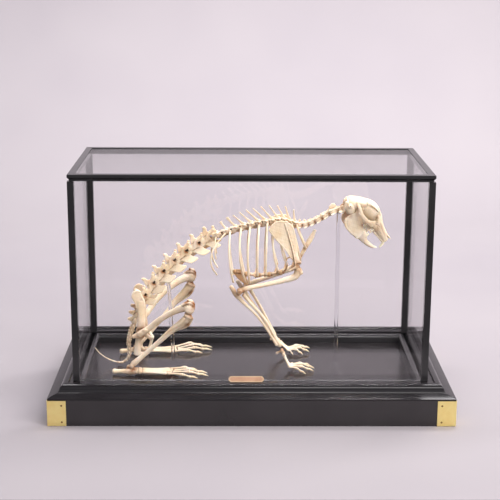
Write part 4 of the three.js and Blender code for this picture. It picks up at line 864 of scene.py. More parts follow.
def build_loins():
    count = len(LOIN_JOINTS) - 1
    for i in range(count):
        seg = Segment(LOIN_JOINTS, i)
        half = 0.5 * seg.length
        t = i / (count - 1)
        reach = LOIN["side_reach"] * (0.5 + 0.5 * math.sin(math.pi * (0.12 + 0.74 * t)))
        parts = [centrum(seg, BODY_DROP["loin"], 6.2, 4.8, 0.72), *loin_plates(seg, half, reach)]
        for side in (-1, 1):
            parts += [seg.tube([(0.74 * half, 4.2, -1.4, 1.6, 3.6), (-0.66 * half, 4.2, -1.2, 1.6, 3.6)],
                side), seg.tube([(-0.3 * half, 3.2, 3, 1.8, 1.8), (-1.1 * half, 3.8, 3.8, 1.5, 1.6)],
                side)]
        parts.append(seg.tube([(0.78 * half, 0, 2.4, 4.4, 1.6), (-0.86 * half, 0, 2.8, 4, 1.5)]))
        hole = seg.tube([(seg.length, 0, -0.4, 2.7, 2), (-seg.length, 0, -0.4, 2.7, 2)])
        bone(f"loin_vertebra_{i + 1}", "loin_vertebrae", parts, 0.6, [hole])
        stain_and_shade(seg.at(-half, 4, 0), 4.6, 0.95)
        stain_and_shade(seg.at(-half, -4, 0), 4.6, 0.95)
        stain_and_shade(seg.at(LOIN["lean"] - 3, 0, LOIN["spine"]), 3, 0.6)


def build_canal_shade():
    """A dark brown cord inside the backbone that shows at the openings between the vertebrae, a dark
    stand-in for the shade inside the canal.
    """
    for node, joints, level, size in (("loin_vertebrae", LOIN_JOINTS, -0.6, 2.0),
        ("chest_vertebrae", CHEST_JOINTS, 0.6, 1.3)):
        inside = [Segment(joints, i).at(0, 0, level) for i in range(len(joints) - 1)]
        strand(f"canal_shade_{node}", node, [tube([station(point, size) for point in inside], sides=12)], 0,
            CANAL_SHADE)


def build_rump():
    parts = []
    for i in range(len(RUMP_JOINTS) - 1):
        seg = Segment(RUMP_JOINTS, i)
        half = 0.5 * seg.length
        t = i / 3
        wide, deep = blend(RUMP_SIZES[0], RUMP_SIZES[1], t)
        parts += [seg.tube([(half, 0, -4.6, wide, deep), (0, 0, -4.4, 0.86 * wide, 0.82 * deep),
            (-half, 0, -4.6, wide * 0.94, deep * 0.94)], dome=0.2),
            seg.tube([(0.9 * half, 0, -2, 4.4, 3), (-0.9 * half, 0, -2, 4, 3)])]
        height = 9.5 - 1.5 * i
        parts.append(seg.tube([(0, 0, 0, 1.2, 0.8 * half), (-1.5, 0, height, 1.3, 0.5 * half)]))
        reach = (13.2, 10, 8)[i]
        for side in (-1, 1):
            parts += [seg.tube([(0, 4, -4.4, half, 2.6),
                (0, reach, -4, 0.84 * half, 4.2 if i == 0 else 1.6)], side, across=seg.along),
                seg.tube([(0.4 * half, 3.6, 1, 1.2, 1.4), (-0.6 * half, 3.2, 2.6, 1.1, 1.2)], side)]
    bone("sacrum", "sacrum", parts, 0.6)


def build_tail():
    count = len(TAIL_JOINTS) - 1
    for i in range(count):
        seg = Segment(TAIL_JOINTS, i)
        half = 0.5 * seg.length - 0.35
        size = TAIL_SIZE[0] + (TAIL_SIZE[1] - TAIL_SIZE[0]) * i / count
        drop = BODY_DROP["rump"] * (1 - min(1, i / 4))
        next_drop = BODY_DROP["rump"] * (1 - min(1, (i + 0.5) / 4))
        parts = [seg.tube([(half, 0, -drop, size, size),
            (0.1 * half, 0, -0.5 * (drop + next_drop), 0.64 * size, 0.64 * size),
            (-half, 0, -next_drop, 0.95 * size, 0.9 * size)], sides=14, dome=0.25)]
        if i < 9:
            reach = 8.6 - 0.6 * i
            for side in (-1, 1):
                parts += [seg.tube([(0.5 * half, 0, -drop, 2.6, 1.3), (0, reach, -drop, 2.1, 1.1)], side,
                    across=(0, 0, 1)), seg.tube([(0.5 * half, 1.6, -drop + 1, 1.2, 1.2),
                    (1.0 * half, 2.6, 4.2 - 0.3 * i - drop, 1, 1)], side)]
            parts += [seg.tube([(0, 0, -drop, 1.2, 1.4), (-0.4, 0, -3.6 + 0.2 * i - drop, 1, 1.2)]),
                seg.tube([(0, 0, -drop, 1, 2.2), (-0.8, 0, 5.4 - 0.4 * i - drop, 0.8, 1.3)])]
        bone(f"tail_vertebra_{i + 1}", "tail_vertebrae", parts, 0.45)
    points = [TAIL_JOINTS[-1], *TAIL_TIP]
    for i, (a, b) in enumerate(zip(points, points[1:])):
        size = 1.35 - 0.18 * i
        start, stop = mid(*a), mid(*b)
        piece = tube([(*blend(start, stop, 0.07), size, size),
            (*blend(start, stop, 0.5), 0.66 * size, 0.66 * size),
            (*blend(start, stop, 0.93), 0.85 * size, 0.85 * size)], sides=10)
        strand(f"tail_tip_{i + 1}", "tail_vertebrae", [piece])


# Hip bones: the joint with the thigh sits this far from the midline
HIP = {"x": -171.0, "z": 100.0, "across": 22.0}


def hip_side(side):
    def hip_tube(stations, **options):
        return tube([(*mid(x, z, side * out), wide, deep) for x, z, out, wide, deep in stations],
            **options)

    wing = plate([(-177, 167.4), (-183.6, 163), (-185, 156), (-180.4, 146), (-177.8, 138), (-164.6, 138),
        (-164.6, 147), (-168.4, 156), (-171, 164)], 2.6, upright(side * 17.6))
    rim = hip_tube([(-171.6, 165, 17.8, 1.5, 1.6), (-177, 166.8, 17.8, 1.7, 1.6),
        (-183, 162.6, 17.8, 1.6, 1.6), (-184.4, 156, 17.8, 1.4, 1.4)])
    back_edge = hip_tube([(-166, 142, 17.6, 2.2, 1.8), (-166, 149, 17.6, 2.1, 1.6),
        (-170, 158, 17.6, 1.6, 1.4)])
    shaft = hip_tube([(-171.6, 150, 17.6, 2, 6.6), (-171, 128, 17.8, 3, 5.6), (-171, 112, 18.4, 4, 6.4),
        (-172, 99, 18, 5.4, 8.2), (-176, 86, 17, 3.4, 4.8), (-177.4, 72, 16, 3.2, 5.4),
        (-178, 63.5, 15.5, 4, 6.2)], sides=20)
    pubis = hip_tube([(-168, 97, 16, 3, 4), (-160, 89, 10, 2.2, 2.6), (-156, 84, 2, 2.2, 4.4)])
    ramus = hip_tube([(-175, 64, 14, 3, 3), (-167, 61.6, 7, 2, 2.4), (-162, 64, 2, 2, 4)])
    return [wing, rim, back_edge, shaft, pubis, ramus]


def build_pelvis():
    seam = tube([(*mid(-156, 85), 2.6, 3), (*mid(-158.4, 74), 2, 2.4), (*mid(-162, 64), 2.6, 3)])
    cups = [ball(mid(HIP["x"], HIP["z"] + 1, side * (HIP["across"] + 1)), 6.6) for side in (-1, 1)]
    bone("pelvis", "pelvis", [seam, *hip_side(-1), *hip_side(1)], 0.6, cups)
    for side in (-1, 1):
        stain_and_shade(mid(HIP["x"], HIP["z"], side * HIP["across"]), 14, 0.9)
        stain_and_shade(mid(-172, 150, side * 12), 16, 0.7)
        stain_and_shade(mid(-160, 74, side * 2), 10, 0.6)


# Legs: landmarks of each side
HIND = {
    "right": {
        "hip": mid(HIP["x"], HIP["z"], -HIP["across"] - 2), "trochanter": (-179.5, -37, 96.5),
        "shaft": [(-158, -39.5, 111), (-141.7, -48, 127), (-122.2, -58, 142), (-104, -67, 152.4)],
        "knee": (-95, -72, 154),
        "shin": [(-95.5, -71.5, 139.5), (-104, -68.5, 130.4), (-118, -63.5, 119), (-140, -58, 97.3),
                 (-163.8, -53.5, 74.4), (-182, -51, 57.6)],
        "heel": (-212, -50, 45.2), "ankle": (-184.5, -50.4, 50.8), "turn": 0.02, "side": -1,
        "toes": [(-8.5, 46, (-104, -71.5, 47.4), (-82, -74, 42.4)),
                 (-3, 54, (-93, -63.5, 49.4), (-66, -64, 42.6)),
                 (3.2, 56, (-93.5, -54, 49.8), (-68, -52, 43)),
                 (8.6, 50, (-102, -43.5, 49.6), (-84, -40, 43.4))],
    },
    "left": {
        "hip": mid(HIP["x"], HIP["z"], HIP["across"] + 2), "trochanter": (-180, 30.5, 99),
        "shaft": [(-165.7, 38, 113.5), (-154, 46, 128.5), (-133.6, 58, 146.6), (-112, 70, 159)],
        "knee": (-98, 76, 162.5),
        "shin": [(-97.5, 76, 148), (-105.4, 74, 138.5), (-121.7, 71.5, 122.4), (-140, 65, 100),
                 (-162, 56.4, 75.6), (-180, 51, 57.6)],
        "heel": (-209.5, 43.4, 45.2), "ankle": (-182, 48.4, 50.8), "turn": 0.1, "side": 1,
        "toes": [(8.5, 46, (-99, 72.4, 50.4), (-76, 77, 43.4)), (3, 54, (-92, 64.4, 50.6), (-63, 68, 44)),
                 (-3.2, 54, (-90, 54.6, 48.4), (-63, 57, 43)),
                 (-8.6, 44, (-100, 44.6, 47), (-78, 43, 42.4))],
    },
}


def build_femur(label, leg):
    hip, trochanter, shaft, knee, side = (leg[k] for k in ("hip", "trochanter", "shaft", "knee", "side"))
    parts = [ball(shift(hip, (0.4, side * -2.4, 1.4)), 5.4),
        tube([near(hip, 0, -side, 1, 3.4),
        station(blend(hip, blend(trochanter, shaft[0], 0.35), 0.6), 3.4, 4),
        between(trochanter, shaft[0], 0.35, 5)]),
        tube([near(trochanter, -3, side * 1.5, 1, 2.6, 3.2), between(trochanter, shaft[0], 0.25, 4, 4.6),
        between(trochanter, shaft[0], 0.6, 4.6, 5)]),
        ball(shift(blend(trochanter, shaft[0], 0.6), (1, -side * 4.5, -2)), (3.4, 2.6, 3)),
        ball(shift(blend(trochanter, shaft[0], 0.8), (-1, side * 4.2, 1)), (4.6, 2, 3.2)),
        tube([between(trochanter, shaft[0], 0.3, 5.6, 5.2), station(shaft[0], 4.9),
        station(shaft[1], 4.6), station(shaft[2], 4.6, 4.8), station(shaft[3], 5.8, 6.1),
        station(knee, 7.4, 7.2)], sides=24, per_span=6),
        tube([near(knee, -10, 0, 5, 3.4, 1.8), near(knee, -3, 0, 8.2, 4.6, 2.2),
        near(knee, 3.4, 0, 7, 5, 2.6), near(knee, 6.8, 0, 2, 4.8, 2.4)])]
    parts += [tube([near(knee, -6, way * 3.6, 7.6, 1, 1.4), near(knee, 1, way * 4.2, 9.4, 1.2, 1.6),
        near(knee, 6.8, way * 4.2, 5.6, 1.3, 1.6), near(knee, 8.4, way * 4.2, 0, 1.3, 1.5)])
        for way in (-1, 1)]
    parts += [ball(shift(knee, (1.2, way * 4.8, -1.4)), (7.4, 3.6, 7.2), 0.4) for way in (-1, 1)]
    notch = ball(shift(knee, (2, 0, -8.4)), (6, 1.7, 5), 0.4)
    bone(f"femur_{label}", f"femur_{label}", parts, 0.6, [notch])
    stain_and_shade(knee, 13, 0.65)
    stain_and_shade(hip, 12, 0.8)
    cap = tube([near(knee, -1.5, 0, 12.6, 2.4, 1.4), near(knee, 4.4, 0, 10.6, 3.6, 2.3),
        near(knee, 8.6, 0, 5.8, 2, 1.2)])
    bone(f"kneecap_{label}", f"kneecap_{label}", [cap], 0.5)


def build_tibia(label, leg):
    shin, side = leg["shin"], leg["side"]
    knobs = [ball(shift(shin[0], (-0.6, way * 4, 2)), (6.6, 4.6, 3.4), 0.5) for way in (-1, 1)]
    body = tube([near(shin[0], 0, 0, 1, 7.4, 6.2), station(shin[1], 5.8, 6.4), station(shin[2], 4.3, 5.0),
        station(shin[3], 3.7, 3.9), station(shin[4], 3.8, 3.6), station(shin[5], 5.8, 4.5)], sides=24,
        per_span=6)
    crest = tube([near(shin[0], 5, 0, -1, 1.8, 2.8), near(shin[1], 6.4, 0, -4.6, 1.3, 3.2),
        near(shin[2], 2.6, 0, -2.6, 1.0, 2.4), between(shin[2], shin[3], 0.6, 1.2, 2.6)])
    ankle = [ball(shift(shin[5], (-2, way * 5, -2)), (3.4, 2, 3.8), 0.5) for way in (-1, 1)]
    groove = tube([near(shin[5], -8, 0, -7, 1.6, 2.4), near(shin[5], 6, 0, -7, 1.6, 2.4)])
    bone(f"tibia_{label}", f"tibia_{label}", [*knobs, body, crest, *ankle], 0.6, [groove])
    thin = tube([near(shin[0], -6.4, side * 5, -0.5, 1.6, 2.4),
        near(shin[1], -5.4, side * 6, -1.4, 1, 1.2), near(shin[2], -4.6, side * 4.8, 0, 0.8, 0.9),
        near(shin[3], -1.4, side * 2.8, 1, 0.9, 1.1)], sides=12, per_span=8)
    strand(f"fibula_{label}", f"tibia_{label}", [thin])
    stain_and_shade(shin[0], 12, 0.6)
    stain_and_shade(shin[5], 10, 0.7)


def foot_point(leg, along, across, z):
    c, s = math.cos(leg["turn"]), math.sin(leg["turn"])
    return (leg["ankle"][0] + along * c - across * s, leg["ankle"][1] + along * s + across * c, z)


def toe_bones(root, head, knuckle, tip, size):
    """Long bone, first and second finger bones, and the claw, each a closed body of its own."""
    second = shift(blend(knuckle, tip, 0.48), (0, 0, -0.6 * size))
    base = shift(blend(knuckle, tip, 0.66), (0, 0, 0.6 * size))

    def shank(a, b, big, small, lift=0.0):
        middle = shift(blend(a, b, 0.5), (0, 0, lift))
        return tube([between(a, b, 0.05, big * size, 0.95 * big * size),
            between(a, b, 0.2, 0.8 * big * size, 0.8 * big * size), station(middle, small * size),
            between(a, b, 0.8, 0.8 * big * size, 0.78 * big * size),
            between(a, b, 0.94, big * size, big * size)], sides=12, per_span=3, dome=0.7)

    long_bone = shank(root, head, 2.4, 1.5)
    first = shank(head, knuckle, 2.2, 1.2, 0.3)
    middle = shank(knuckle, second, 2.0, 1.1, 0.2)
    claw = tube([station(second, 1.4 * size, 1.6 * size), station(base, 1.3 * size, 1.6 * size),
        between(base, tip, 0.6, 0.8 * size, 1.0 * size), station(tip, 0.3, 0.32)], sides=10, per_span=4)
    return [long_bone, first, middle], claw


def build_hind_foot(label, leg):
    def at(along, across, z):
        return foot_point(leg, along, across, z)

    side = leg["side"]
    heel_bone = [tube([station(leg["heel"], 3.8, 4.2),
        station(blend(leg["heel"], at(-8, side * 2.5, 46), 0.45), 3, 3.2),
        station(at(-6, side * 2.6, 46), 4.2, 4.4), station(at(3.4, side * 3.4, 45.6), 3.8, 4.2)],
        sides=18)]
    pulley = [tube([station(at(-6, -side * 1.6, 51), 1.9, 3.4),
        station(at(3, -side * 2.8, 48), 3.2, 3.4)]), ball(at(-4.4, -side * 3.6, 51.4), (4, 1.6, 3.6)),
        ball(at(-4.4, side * 0.8, 51.4), (4, 1.6, 3.6))]
    bone(f"heel_{label}", f"tarsus_{label}", heel_bone, 0.6)
    bone(f"ankle_{label}", f"tarsus_{label}", pulley, 0.55)
    small = []
    for row in (-1, 0, 1):
        small += [tube([station(at(5.6, row * 4.6, 46.4), 2.7, 3.5),
            station(at(8.4, row * 5, 46.4), 2.6, 3.4)], dome=0.5),
            tube([station(at(10.8, row * 5.2, 46.4), 2.6, 3.4),
            station(at(14.4, row * 5.4, 46.2), 2.7, 3.0)], dome=0.6)]
    strand(f"tarsals_{label}", f"tarsus_{label}", small, 0.15)
    for i, (across, reach, knuckle, tip) in enumerate(leg["toes"]):
        bones, claw = toe_bones(at(15.4, 0.72 * across, 46.4), at(15 + reach - 6, across * 1.15, 45),
            knuckle, tip, 1.08)
        strand(f"hind_toe_{label}_{i + 1}", f"hind_foot_{label}", bones)
        strand(f"hind_claw_{label}_{i + 1}", f"hind_foot_{label}", [claw], 0.03, HORN)
        stain_and_shade(at(15 + reach - 6, across * 1.15, 45), 4.5, 0.9)
        stain_and_shade(knuckle, 4, 0.85)
    stain_and_shade(at(8, 0, 46), 10, 0.9)


FORE = {
    "right": {
        "blade": -27.4, "head": (68.6, -22.6, 205), "tubercle": (75.4, -25, 197),
        "arm": [(68, -25, 191.6), (50, -25.6, 184.8), (22, -28, 178.6), (-4, -30, 173.6)],
        "elbow": (-18.5, -31, 168.6), "olecranon": (-31.5, -31, 175.6),
        "radius": [(-12, -30.6, 162.4), (-1, -29.6, 148.6), (17, -27, 127.4), (31.6, -24, 103),
                   (44.4, -20.6, 77.6)],
        "ulna": [(-24, -31, 163.6), (-11, -30.4, 149), (8.6, -29, 128.6), (25.4, -27.4, 104),
                 (39.6, -24.6, 79.4)],
        "wrist": (48, -22.6, 70), "palm": (59.5, -28.5, 47), "pea": (40, -24, 66), "side": -1,
        "toes": [(7.4, (64.6, -18.6, 47.4), (70, -12, 43.4), 0.7),
                 (4.4, (77, -22.6, 49.6), (92, -18, 44.4), 0.95),
                 (1, (81, -28.6, 50), (98.5, -29.5, 43), 1), (-3, (79, -36.4, 48.6), (97, -41, 42.4), 1),
                 (-6.6, (71, -42, 47.4), (84, -53, 42), 0.9)],
    },
    "left": {
        "blade": 27.4, "head": (69.6, 34, 204), "tubercle": (75.4, 36, 196),
        "arm": [(69, 35.6, 190.6), (50, 33, 182.6), (27, 29, 174.4), (4, 25.6, 167.4)],
        "elbow": (-8.5, 24, 162.6), "olecranon": (-21.6, 22.4, 169.6),
        "radius": [(-2.4, 26.4, 156), (5.4, 30.6, 141.6), (17.4, 37.6, 118.4), (28.6, 44.4, 94),
                   (38.4, 50.6, 71.6)],
        "ulna": [(-14, 23.6, 157.6), (-4.6, 28.2, 142), (9, 36, 120), (22, 43.6, 95.6), (32, 49.8, 73.6)],
        "wrist": (40.4, 52.6, 65.6), "palm": (61, 52, 46.6), "pea": (32.4, 52, 63.4), "side": 1,
        "toes": [(-7.4, (64.6, 40.6, 47), (68, 33.5, 43.4), 0.7),
                 (-4.4, (74.6, 43.6, 48.6), (84, 36.6, 42.6), 0.95),
                 (-1, (80, 50.4, 50), (95, 47.6, 43.4), 1), (3, (79.6, 57.4, 51), (97, 60, 45.4), 1),
                 (6.6, (75, 63, 50), (90, 69.6, 45), 0.9)],
    },
}
BLADE = {"spine": [(51, 272), (58, 250), (64.5, 226), (67.6, 205)], "hook": (57, 201.5), "thick": 1.3,
    "level": 236.0, "lean": 0.1, "outline": [(26.4, 262.6), (31, 270.6), (40, 276), (53, 276),
    (62.6, 267), (67, 247), (70, 228), (72, 216), (66, 212.5), (62, 217), (53.3, 230.6), (34.9, 251.6)]}


def build_scapula(label, limb):
    side = limb["side"]
    lean = -side * BLADE["lean"]

    def offset(z):
        return limb["blade"] + lean * (z - BLADE["level"])

    def point(x, z, out=0.0):
        return mid(x, z, offset(z) + side * out)

    body = plate(BLADE["outline"], BLADE["thick"], upright(limb["blade"], lean, BLADE["level"]))
    edges = [tube([station(point(x, z), 1.0, 1.2) for x,
        z in ((26.6, 262.4), (35, 251.4), (53.6, 230.4), (62.4, 217.4), (67, 214))]),
        tube([station(point(x, z), 0.9, 1.1) for x,
        z in ((53, 275.4), (62.2, 267), (66.6, 247), (69.6, 228), (71, 218))]),
        tube([station(point(x, z), 1.0, 1.1) for x,
        z in ((26.8, 263), (31, 270.2), (40, 275.4), (53, 275.4))])]
    neck = tube([station(point(67, 226), 1.2, 3.6), station(point(69, 217), 2.8, 4.4),
        station(point(69.6, 212.8), 3.8, 5.4)], sides=18)
    ridge = tube([station(point(x, z, 0.4 + 0.7 * i), 1.5 + 0.4 * i, 1.2) for i,
        (x, z) in enumerate(BLADE["spine"])], per_span=6)
    tip_x, tip_z = BLADE["spine"][3]
    hook = tube([station(point(tip_x, tip_z + 2, 6), 1.1, 2.2),
        station(point(0.5 * (tip_x + BLADE["hook"][0]), tip_z - 0.6, 6.6), 0.9, 1.6),
        station(point(*BLADE["hook"], 6.4), 0.9, 1.3)])
    beak = ball(point(74, 212, -2), (2.6, 2.4, 2.6))
    bone(f"scapula_{label}", f"scapula_{label}", [body, *edges, neck, ridge, hook, beak], 0.5)
    stain_and_shade(point(69.6, 212), 11, 0.7)


def build_arm(label, limb):
    head, tubercle, arm, elbow = (limb[k] for k in ("head", "tubercle", "arm", "elbow"))
    body = tube([between(head, tubercle, 0.5, 5.6, 5.6), station(arm[0], 4.8, 5.4),
        station(arm[1], 3.7, 4.3), station(arm[2], 3.5), station(arm[3], 3.8), station(elbow, 5.2, 4.2)],
        sides=24, per_span=6)
    knobs = [ball(head, (5.6, 5.2, 5.4)), ball(tubercle, (3.8, 4.2, 3.8)),
        ball(shift(tubercle, (-3, -limb["side"] * 5, 2)), (3, 2.4, 3))]
    roller = tube([near(elbow, 0, -6, 0, 4.4), near(elbow, 0, -1.6, 0, 3.6), near(elbow, 0, 2.6, 0, 4.2),
        near(elbow, 0, 6, 0, 3.8)], across=(1, 0, 0), sides=18, dome=0.3)
    ridge = tube([between(arm[0], arm[1], 0.1, 1.4, 2.4), between(arm[0], arm[1], 0.8, 1.2, 3.8),
        between(arm[1], arm[2], 0.4, 1.2, 2.4)])
    bone(f"humerus_{label}", f"humerus_{label}", [body, *knobs, roller, ridge], 0.55)
    ulna = limb["ulna"]
    shank = tube([station(limb["olecranon"], 3.4, 3.2),
        between(limb["olecranon"], ulna[0], 0.5, 2.6, 3.6), station(ulna[0], 2.8, 4.2),
        station(ulna[1], 2.1, 2.7), station(ulna[2], 1.7, 2.1), station(ulna[3], 1.5, 1.6),
        station(ulna[4], 2.2, 2.4)], sides=18, per_span=6)
    room = tube([near(elbow, 0, way * 8, 0, 4.9) for way in (-1, 1)], across=(1, 0, 0), sides=20)
    bone(f"ulna_{label}", f"ulna_{label}", [shank], 0.55, [room])
    rad = limb["radius"]
    shank = tube([station(rad[0], 4.6, 3.2), between(rad[0], rad[1], 0.3, 3.4, 2.8),
        station(rad[1], 2.9, 2.4), station(rad[2], 2.9, 2.4), station(rad[3], 3, 2.5),
        station(rad[4], 4.4, 3.6)], sides=18, per_span=6)
    bone(f"radius_{label}", f"radius_{label}", [shank], 0.55, [room])
    stain_and_shade(elbow, 12, 0.7)
    stain_and_shade(head, 11, 0.75)


def build_forefoot(label, limb):
    wrist, palm = limb["wrist"], limb["palm"]
    small = []
    for row, t in enumerate((0.02, 0.22)):
        centre = blend(wrist, palm, t)
        for k in range(3 + row):
            across = (k - 0.5 * (2 + row)) * (4.2 if row == 0 else 3.5)
            small.append(ball(shift(centre, (0, across, 0)), (2.7, 2.15 if row == 0 else 1.9, 2.5),
                sides=14, rings=8))
    small.append(tube([station(limb["pea"], 1.9, 2), between(limb["pea"], wrist, 0.6, 1.5, 1.6)]))
    strand(f"carpals_{label}", f"forefoot_{label}", small, 0.15)
    for i, (root, knuckle, tip, size) in enumerate(limb["toes"]):
        bones, claw = toe_bones(shift(blend(wrist, palm, 0.36), (0, root * 0.75, 0)),
            shift(palm, (0, root, 0)), knuckle, tip, size)
        strand(f"fore_toe_{label}_{i + 1}", f"forefoot_{label}", bones)
        strand(f"fore_claw_{label}_{i + 1}", f"forefoot_{label}", [claw], 0.03, HORN)
        stain_and_shade(knuckle, 4, 0.6)
    stain_and_shade(wrist, 9, 0.7)
    stain_and_shade(palm, 7, 0.5)


# Stains at joints and glued places, and patches of painted shade on the skull, that are laid before any
# bone is made, so that neighbours share them
for joints, drop in ((NECK_JOINTS, 3.0), (CHEST_JOINTS, 4.2), (LOIN_JOINTS, 5.6)):
    for jx, jz in joints:
        stain_and_shade(mid(jx, jz - drop), 5.5, 0.65)
stain_and_shade(mid(-176, 140), 12, 0.7)
for point in TAIL_JOINTS:
    stain_and_shade(mid(*point), 3, 0.6)
for leg in HIND.values():
    stain_and_shade(shift(leg["knee"], (8, 0, 4)), 8, 0.95)
    stain_and_shade(shift(leg["knee"], (-4, 0, 11)), 6, 0.9)
    stain_and_shade(shift(leg["knee"], (2, 0, -10)), 8, 0.95)
    stain_and_shade(shift(leg["shin"][1], (6, 0, -2)), 7, 0.7)
    stain_and_shade(leg["hip"], 12, 0.8)
    stain_and_shade(leg["ankle"], 11, 0.75)
for limb in FORE.values():
    stain_and_shade(limb["elbow"], 12, 0.7)
    stain_and_shade(limb["head"], 11, 0.75)
    stain_and_shade(limb["wrist"], 9, 0.7)
stain_and_shade(head_point(-3, 0, 2), 6, 0.6)
stain_and_shade(mid(-20, 182), 11, 0.95)
stain_and_shade(mid(-26, 192), 7, 0.9)
for x, z, _ in KNOTS:
    stain_and_shade(mid(x, z, -3), 6, 0.8)
# Brown patches on the right, seen side of the skull: painted shade in the eye socket, under the cheek
# arch and in the holed side of the snout.
for place, reach, strength in (((17, -15, 17), 5, 0.4), ((40, -17, 5), 5, 0.9), ((45, -14, 27), 4, 0.5),
    ((15, -17, 0), 3, 0.5), ((58, -9, 13), 8, 0.35)):
    stain_and_shade(head_point(*place), reach, strength)

build_skull()
build_jaw()
build_neck()
build_chest_vertebrae()
build_ribs()
build_breastbone()
build_loins()
build_canal_shade()
build_rump()
build_tail()
build_pelvis()
for label, leg in HIND.items():
    build_femur(label, leg)
    build_tibia(label, leg)
    build_hind_foot(label, leg)
for label, limb in FORE.items():
    build_scapula(label, limb)
    build_arm(label, limb)
    build_forefoot(label, limb)


# The case

def lacquer_material(name, colour, rough, grain=0.5, shine=0.5):
    made, tree, shader = material(name)
    along = object_place(tree, (1, 14, 14))
    plain = object_place(tree)
    fibre = noise_node(tree, along, 60.0, 5.0, 0.6)
    cloud = noise_node(tree, plain, 9.0, 3.0)
    tone = mixed(tree, levels(tree, cloud, 0.3, 0.7), colour, tuple(1.5 * c for c in colour))
    dust = levels(tree, noise_node(tree, plain, 700.0, 2.0), 0.7, 0.82, 0, 0.25)
    tone = mixed(tree, dust, tone, (0.2, 0.19, 0.19))
    tree.links.new(tone, shader.inputs["Base Color"])
    tree.links.new(levels(tree, cloud, 0.3, 0.7, rough - 0.05, rough + 0.06), shader.inputs["Roughness"])
    shader.inputs["Specular IOR Level"].default_value = shine
    bump(tree, shader, fibre, 0.10 * grain, 0.0004)
    return made


def brass_material(name, bright, dull, rough):
    made, tree, shader = material(name)
    bright, dull = srgb(*bright), srgb(*dull)
    place = object_place(tree)
    cloud = noise_node(tree, place, 55.0, 4.0)
    fine = noise_node(tree, place, 900.0, 3.0)
    tone = mixed(tree, levels(tree, cloud, 0.35, 0.75, 0, 0.35), bright, dull)
    tree.links.new(tone, shader.inputs["Base Color"])
    tree.links.new(levels(tree, cloud, 0.3, 0.7, rough - 0.06, rough + 0.1), shader.inputs["Roughness"])
    shader.inputs["Metallic"].default_value = 1.0
    bump(tree, shader, fine, 0.12, 0.0002)
    return made


def finish_mix(tree, share, first, second):
    """The material's surface as a share of two shaders."""
    out = next(n for n in tree.nodes if n.type == "OUTPUT_MATERIAL")
    mix = new_node(tree, "MixShader")
    join(tree, (share, mix.inputs["Fac"]), (first.outputs["BSDF"], mix.inputs[1]),
        (second.outputs["BSDF"], mix.inputs[2]), (mix.outputs["Shader"], out.inputs["Surface"]))


def glass_material(name, straight, tint):
    """Clear, with a mirror that grows from its share when seen straight on to a full one at a slant."""
    made, tree, shader = material(name)
    tree.nodes.remove(shader)
    clear = new_node(tree, "BsdfTransparent", Color=(*tint, 1))
    mirror = new_node(tree, "BsdfGlossy", Roughness=0.0)
    slant = new_node(tree, "LayerWeight", Blend=0.5)
    fifth = product(tree, slant.outputs["Facing"], 5.0, "POWER")
    share = levels(tree, fifth, 0, 1, straight, 1)
    finish_mix(tree, share, clear, mirror)
    return made


def clear_rod_material():
    """Clear plastic that bends what is behind it and lets the lamps through."""
    made, tree, shader = material("clear_rod")
    tree.nodes.remove(shader)
    body = new_node(tree, "BsdfGlass", Color=(0.97, 0.97, 0.98, 1), Roughness=0.02, IOR=1.49)
    clear = new_node(tree, "BsdfTransparent")
    finish_mix(tree, new_node(tree, "LightPath").outputs["Is Shadow Ray"], body, clear)
    return made


WOOD = lacquer_material("black_lacquered_wood", (0.014, 0.012, 0.013), 0.2, 0.08)
GLOSS = lacquer_material("black_polished_moulding", (0.008, 0.007, 0.008), 0.15, 0.12, 0.28)
FRAME = lacquer_material("black_case_frame", (0.016, 0.015, 0.016), 0.2, 0.2, 0.42)
PIN = brass_material("dark_pin", (120, 88, 46), (70, 48, 26), 0.45)
BRASS = brass_material("brass", (255, 235, 160), (228, 188, 108), 0.4)
COPPER = brass_material("plaque_copper", (184, 147, 122), (148, 108, 84), 0.55)
RIM = brass_material("plaque_rim", (198, 172, 142), (162, 130, 102), 0.5)
ROD = clear_rod_material()
GLASS = glass_material("case_glass", 0.025, (0.985, 0.982, 0.984))


def dress(node, made):
    """A material on a node that keeps its own solid."""
    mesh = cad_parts[node].data
    mesh.materials.clear()
    mesh.materials.append(made)


def bevelled(node, width):
    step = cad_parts[node].modifiers.new("edge", "BEVEL")
    step.width = width * MM
    step.segments = 3
    step.limit_method = "ANGLE"
    step.angle_limit = math.radians(30)
    step.harden_normals = True


def profile_run(profile, half_length, half_width, turn, move=0.0):
    """A moulding of one profile (inward, height) between two mitres, turned to its side."""
    c, s = math.cos(turn), math.sin(turn)
    rings = []
    for end in (-1, 1):
        rows = []
        for u, z in profile:
            x, y = end * (half_length - u - GAP / 2), -(half_width - u)
            rows.append((x * c - y * s + move, x * s + y * c, z))
        rings.append(rows)
    points = np.array(rings[0] + rings[1])
    return points, capped(2, len(profile))


def hard_piece(name, node, parts, made):
    """A piece of the case, with sharp edges where its faces meet at more than 35 degrees."""
    mesh = mesh_of(name, parts)
    face_outwards(mesh)
    link(name, mesh, node, made)
    mesh.set_sharp_from_angle(angle=math.radians(35))


MOULDING = {"foot": 42.2, "cove": 15.0, "cove_top": 46.6, "bead": 17.0, "bead_top": 57.6, "ledge": 55.0,
    "bend": 30.0, "shoulder": 3.6, "round": 8.0}
INNER_BEAD = {"width": 11.5, "shoulder": 46.5, "top": 54.0}
GLASS_INNER = 2 * (PANE["inset"] + PANE["thick"] + GAP)
SIDES = [("front", 0.0, True, 0.0), ("right", math.pi / 2, False, CASE["x"]),
    ("back", math.pi, True, 0.0), ("left", -math.pi / 2, False, -CASE["x"])]


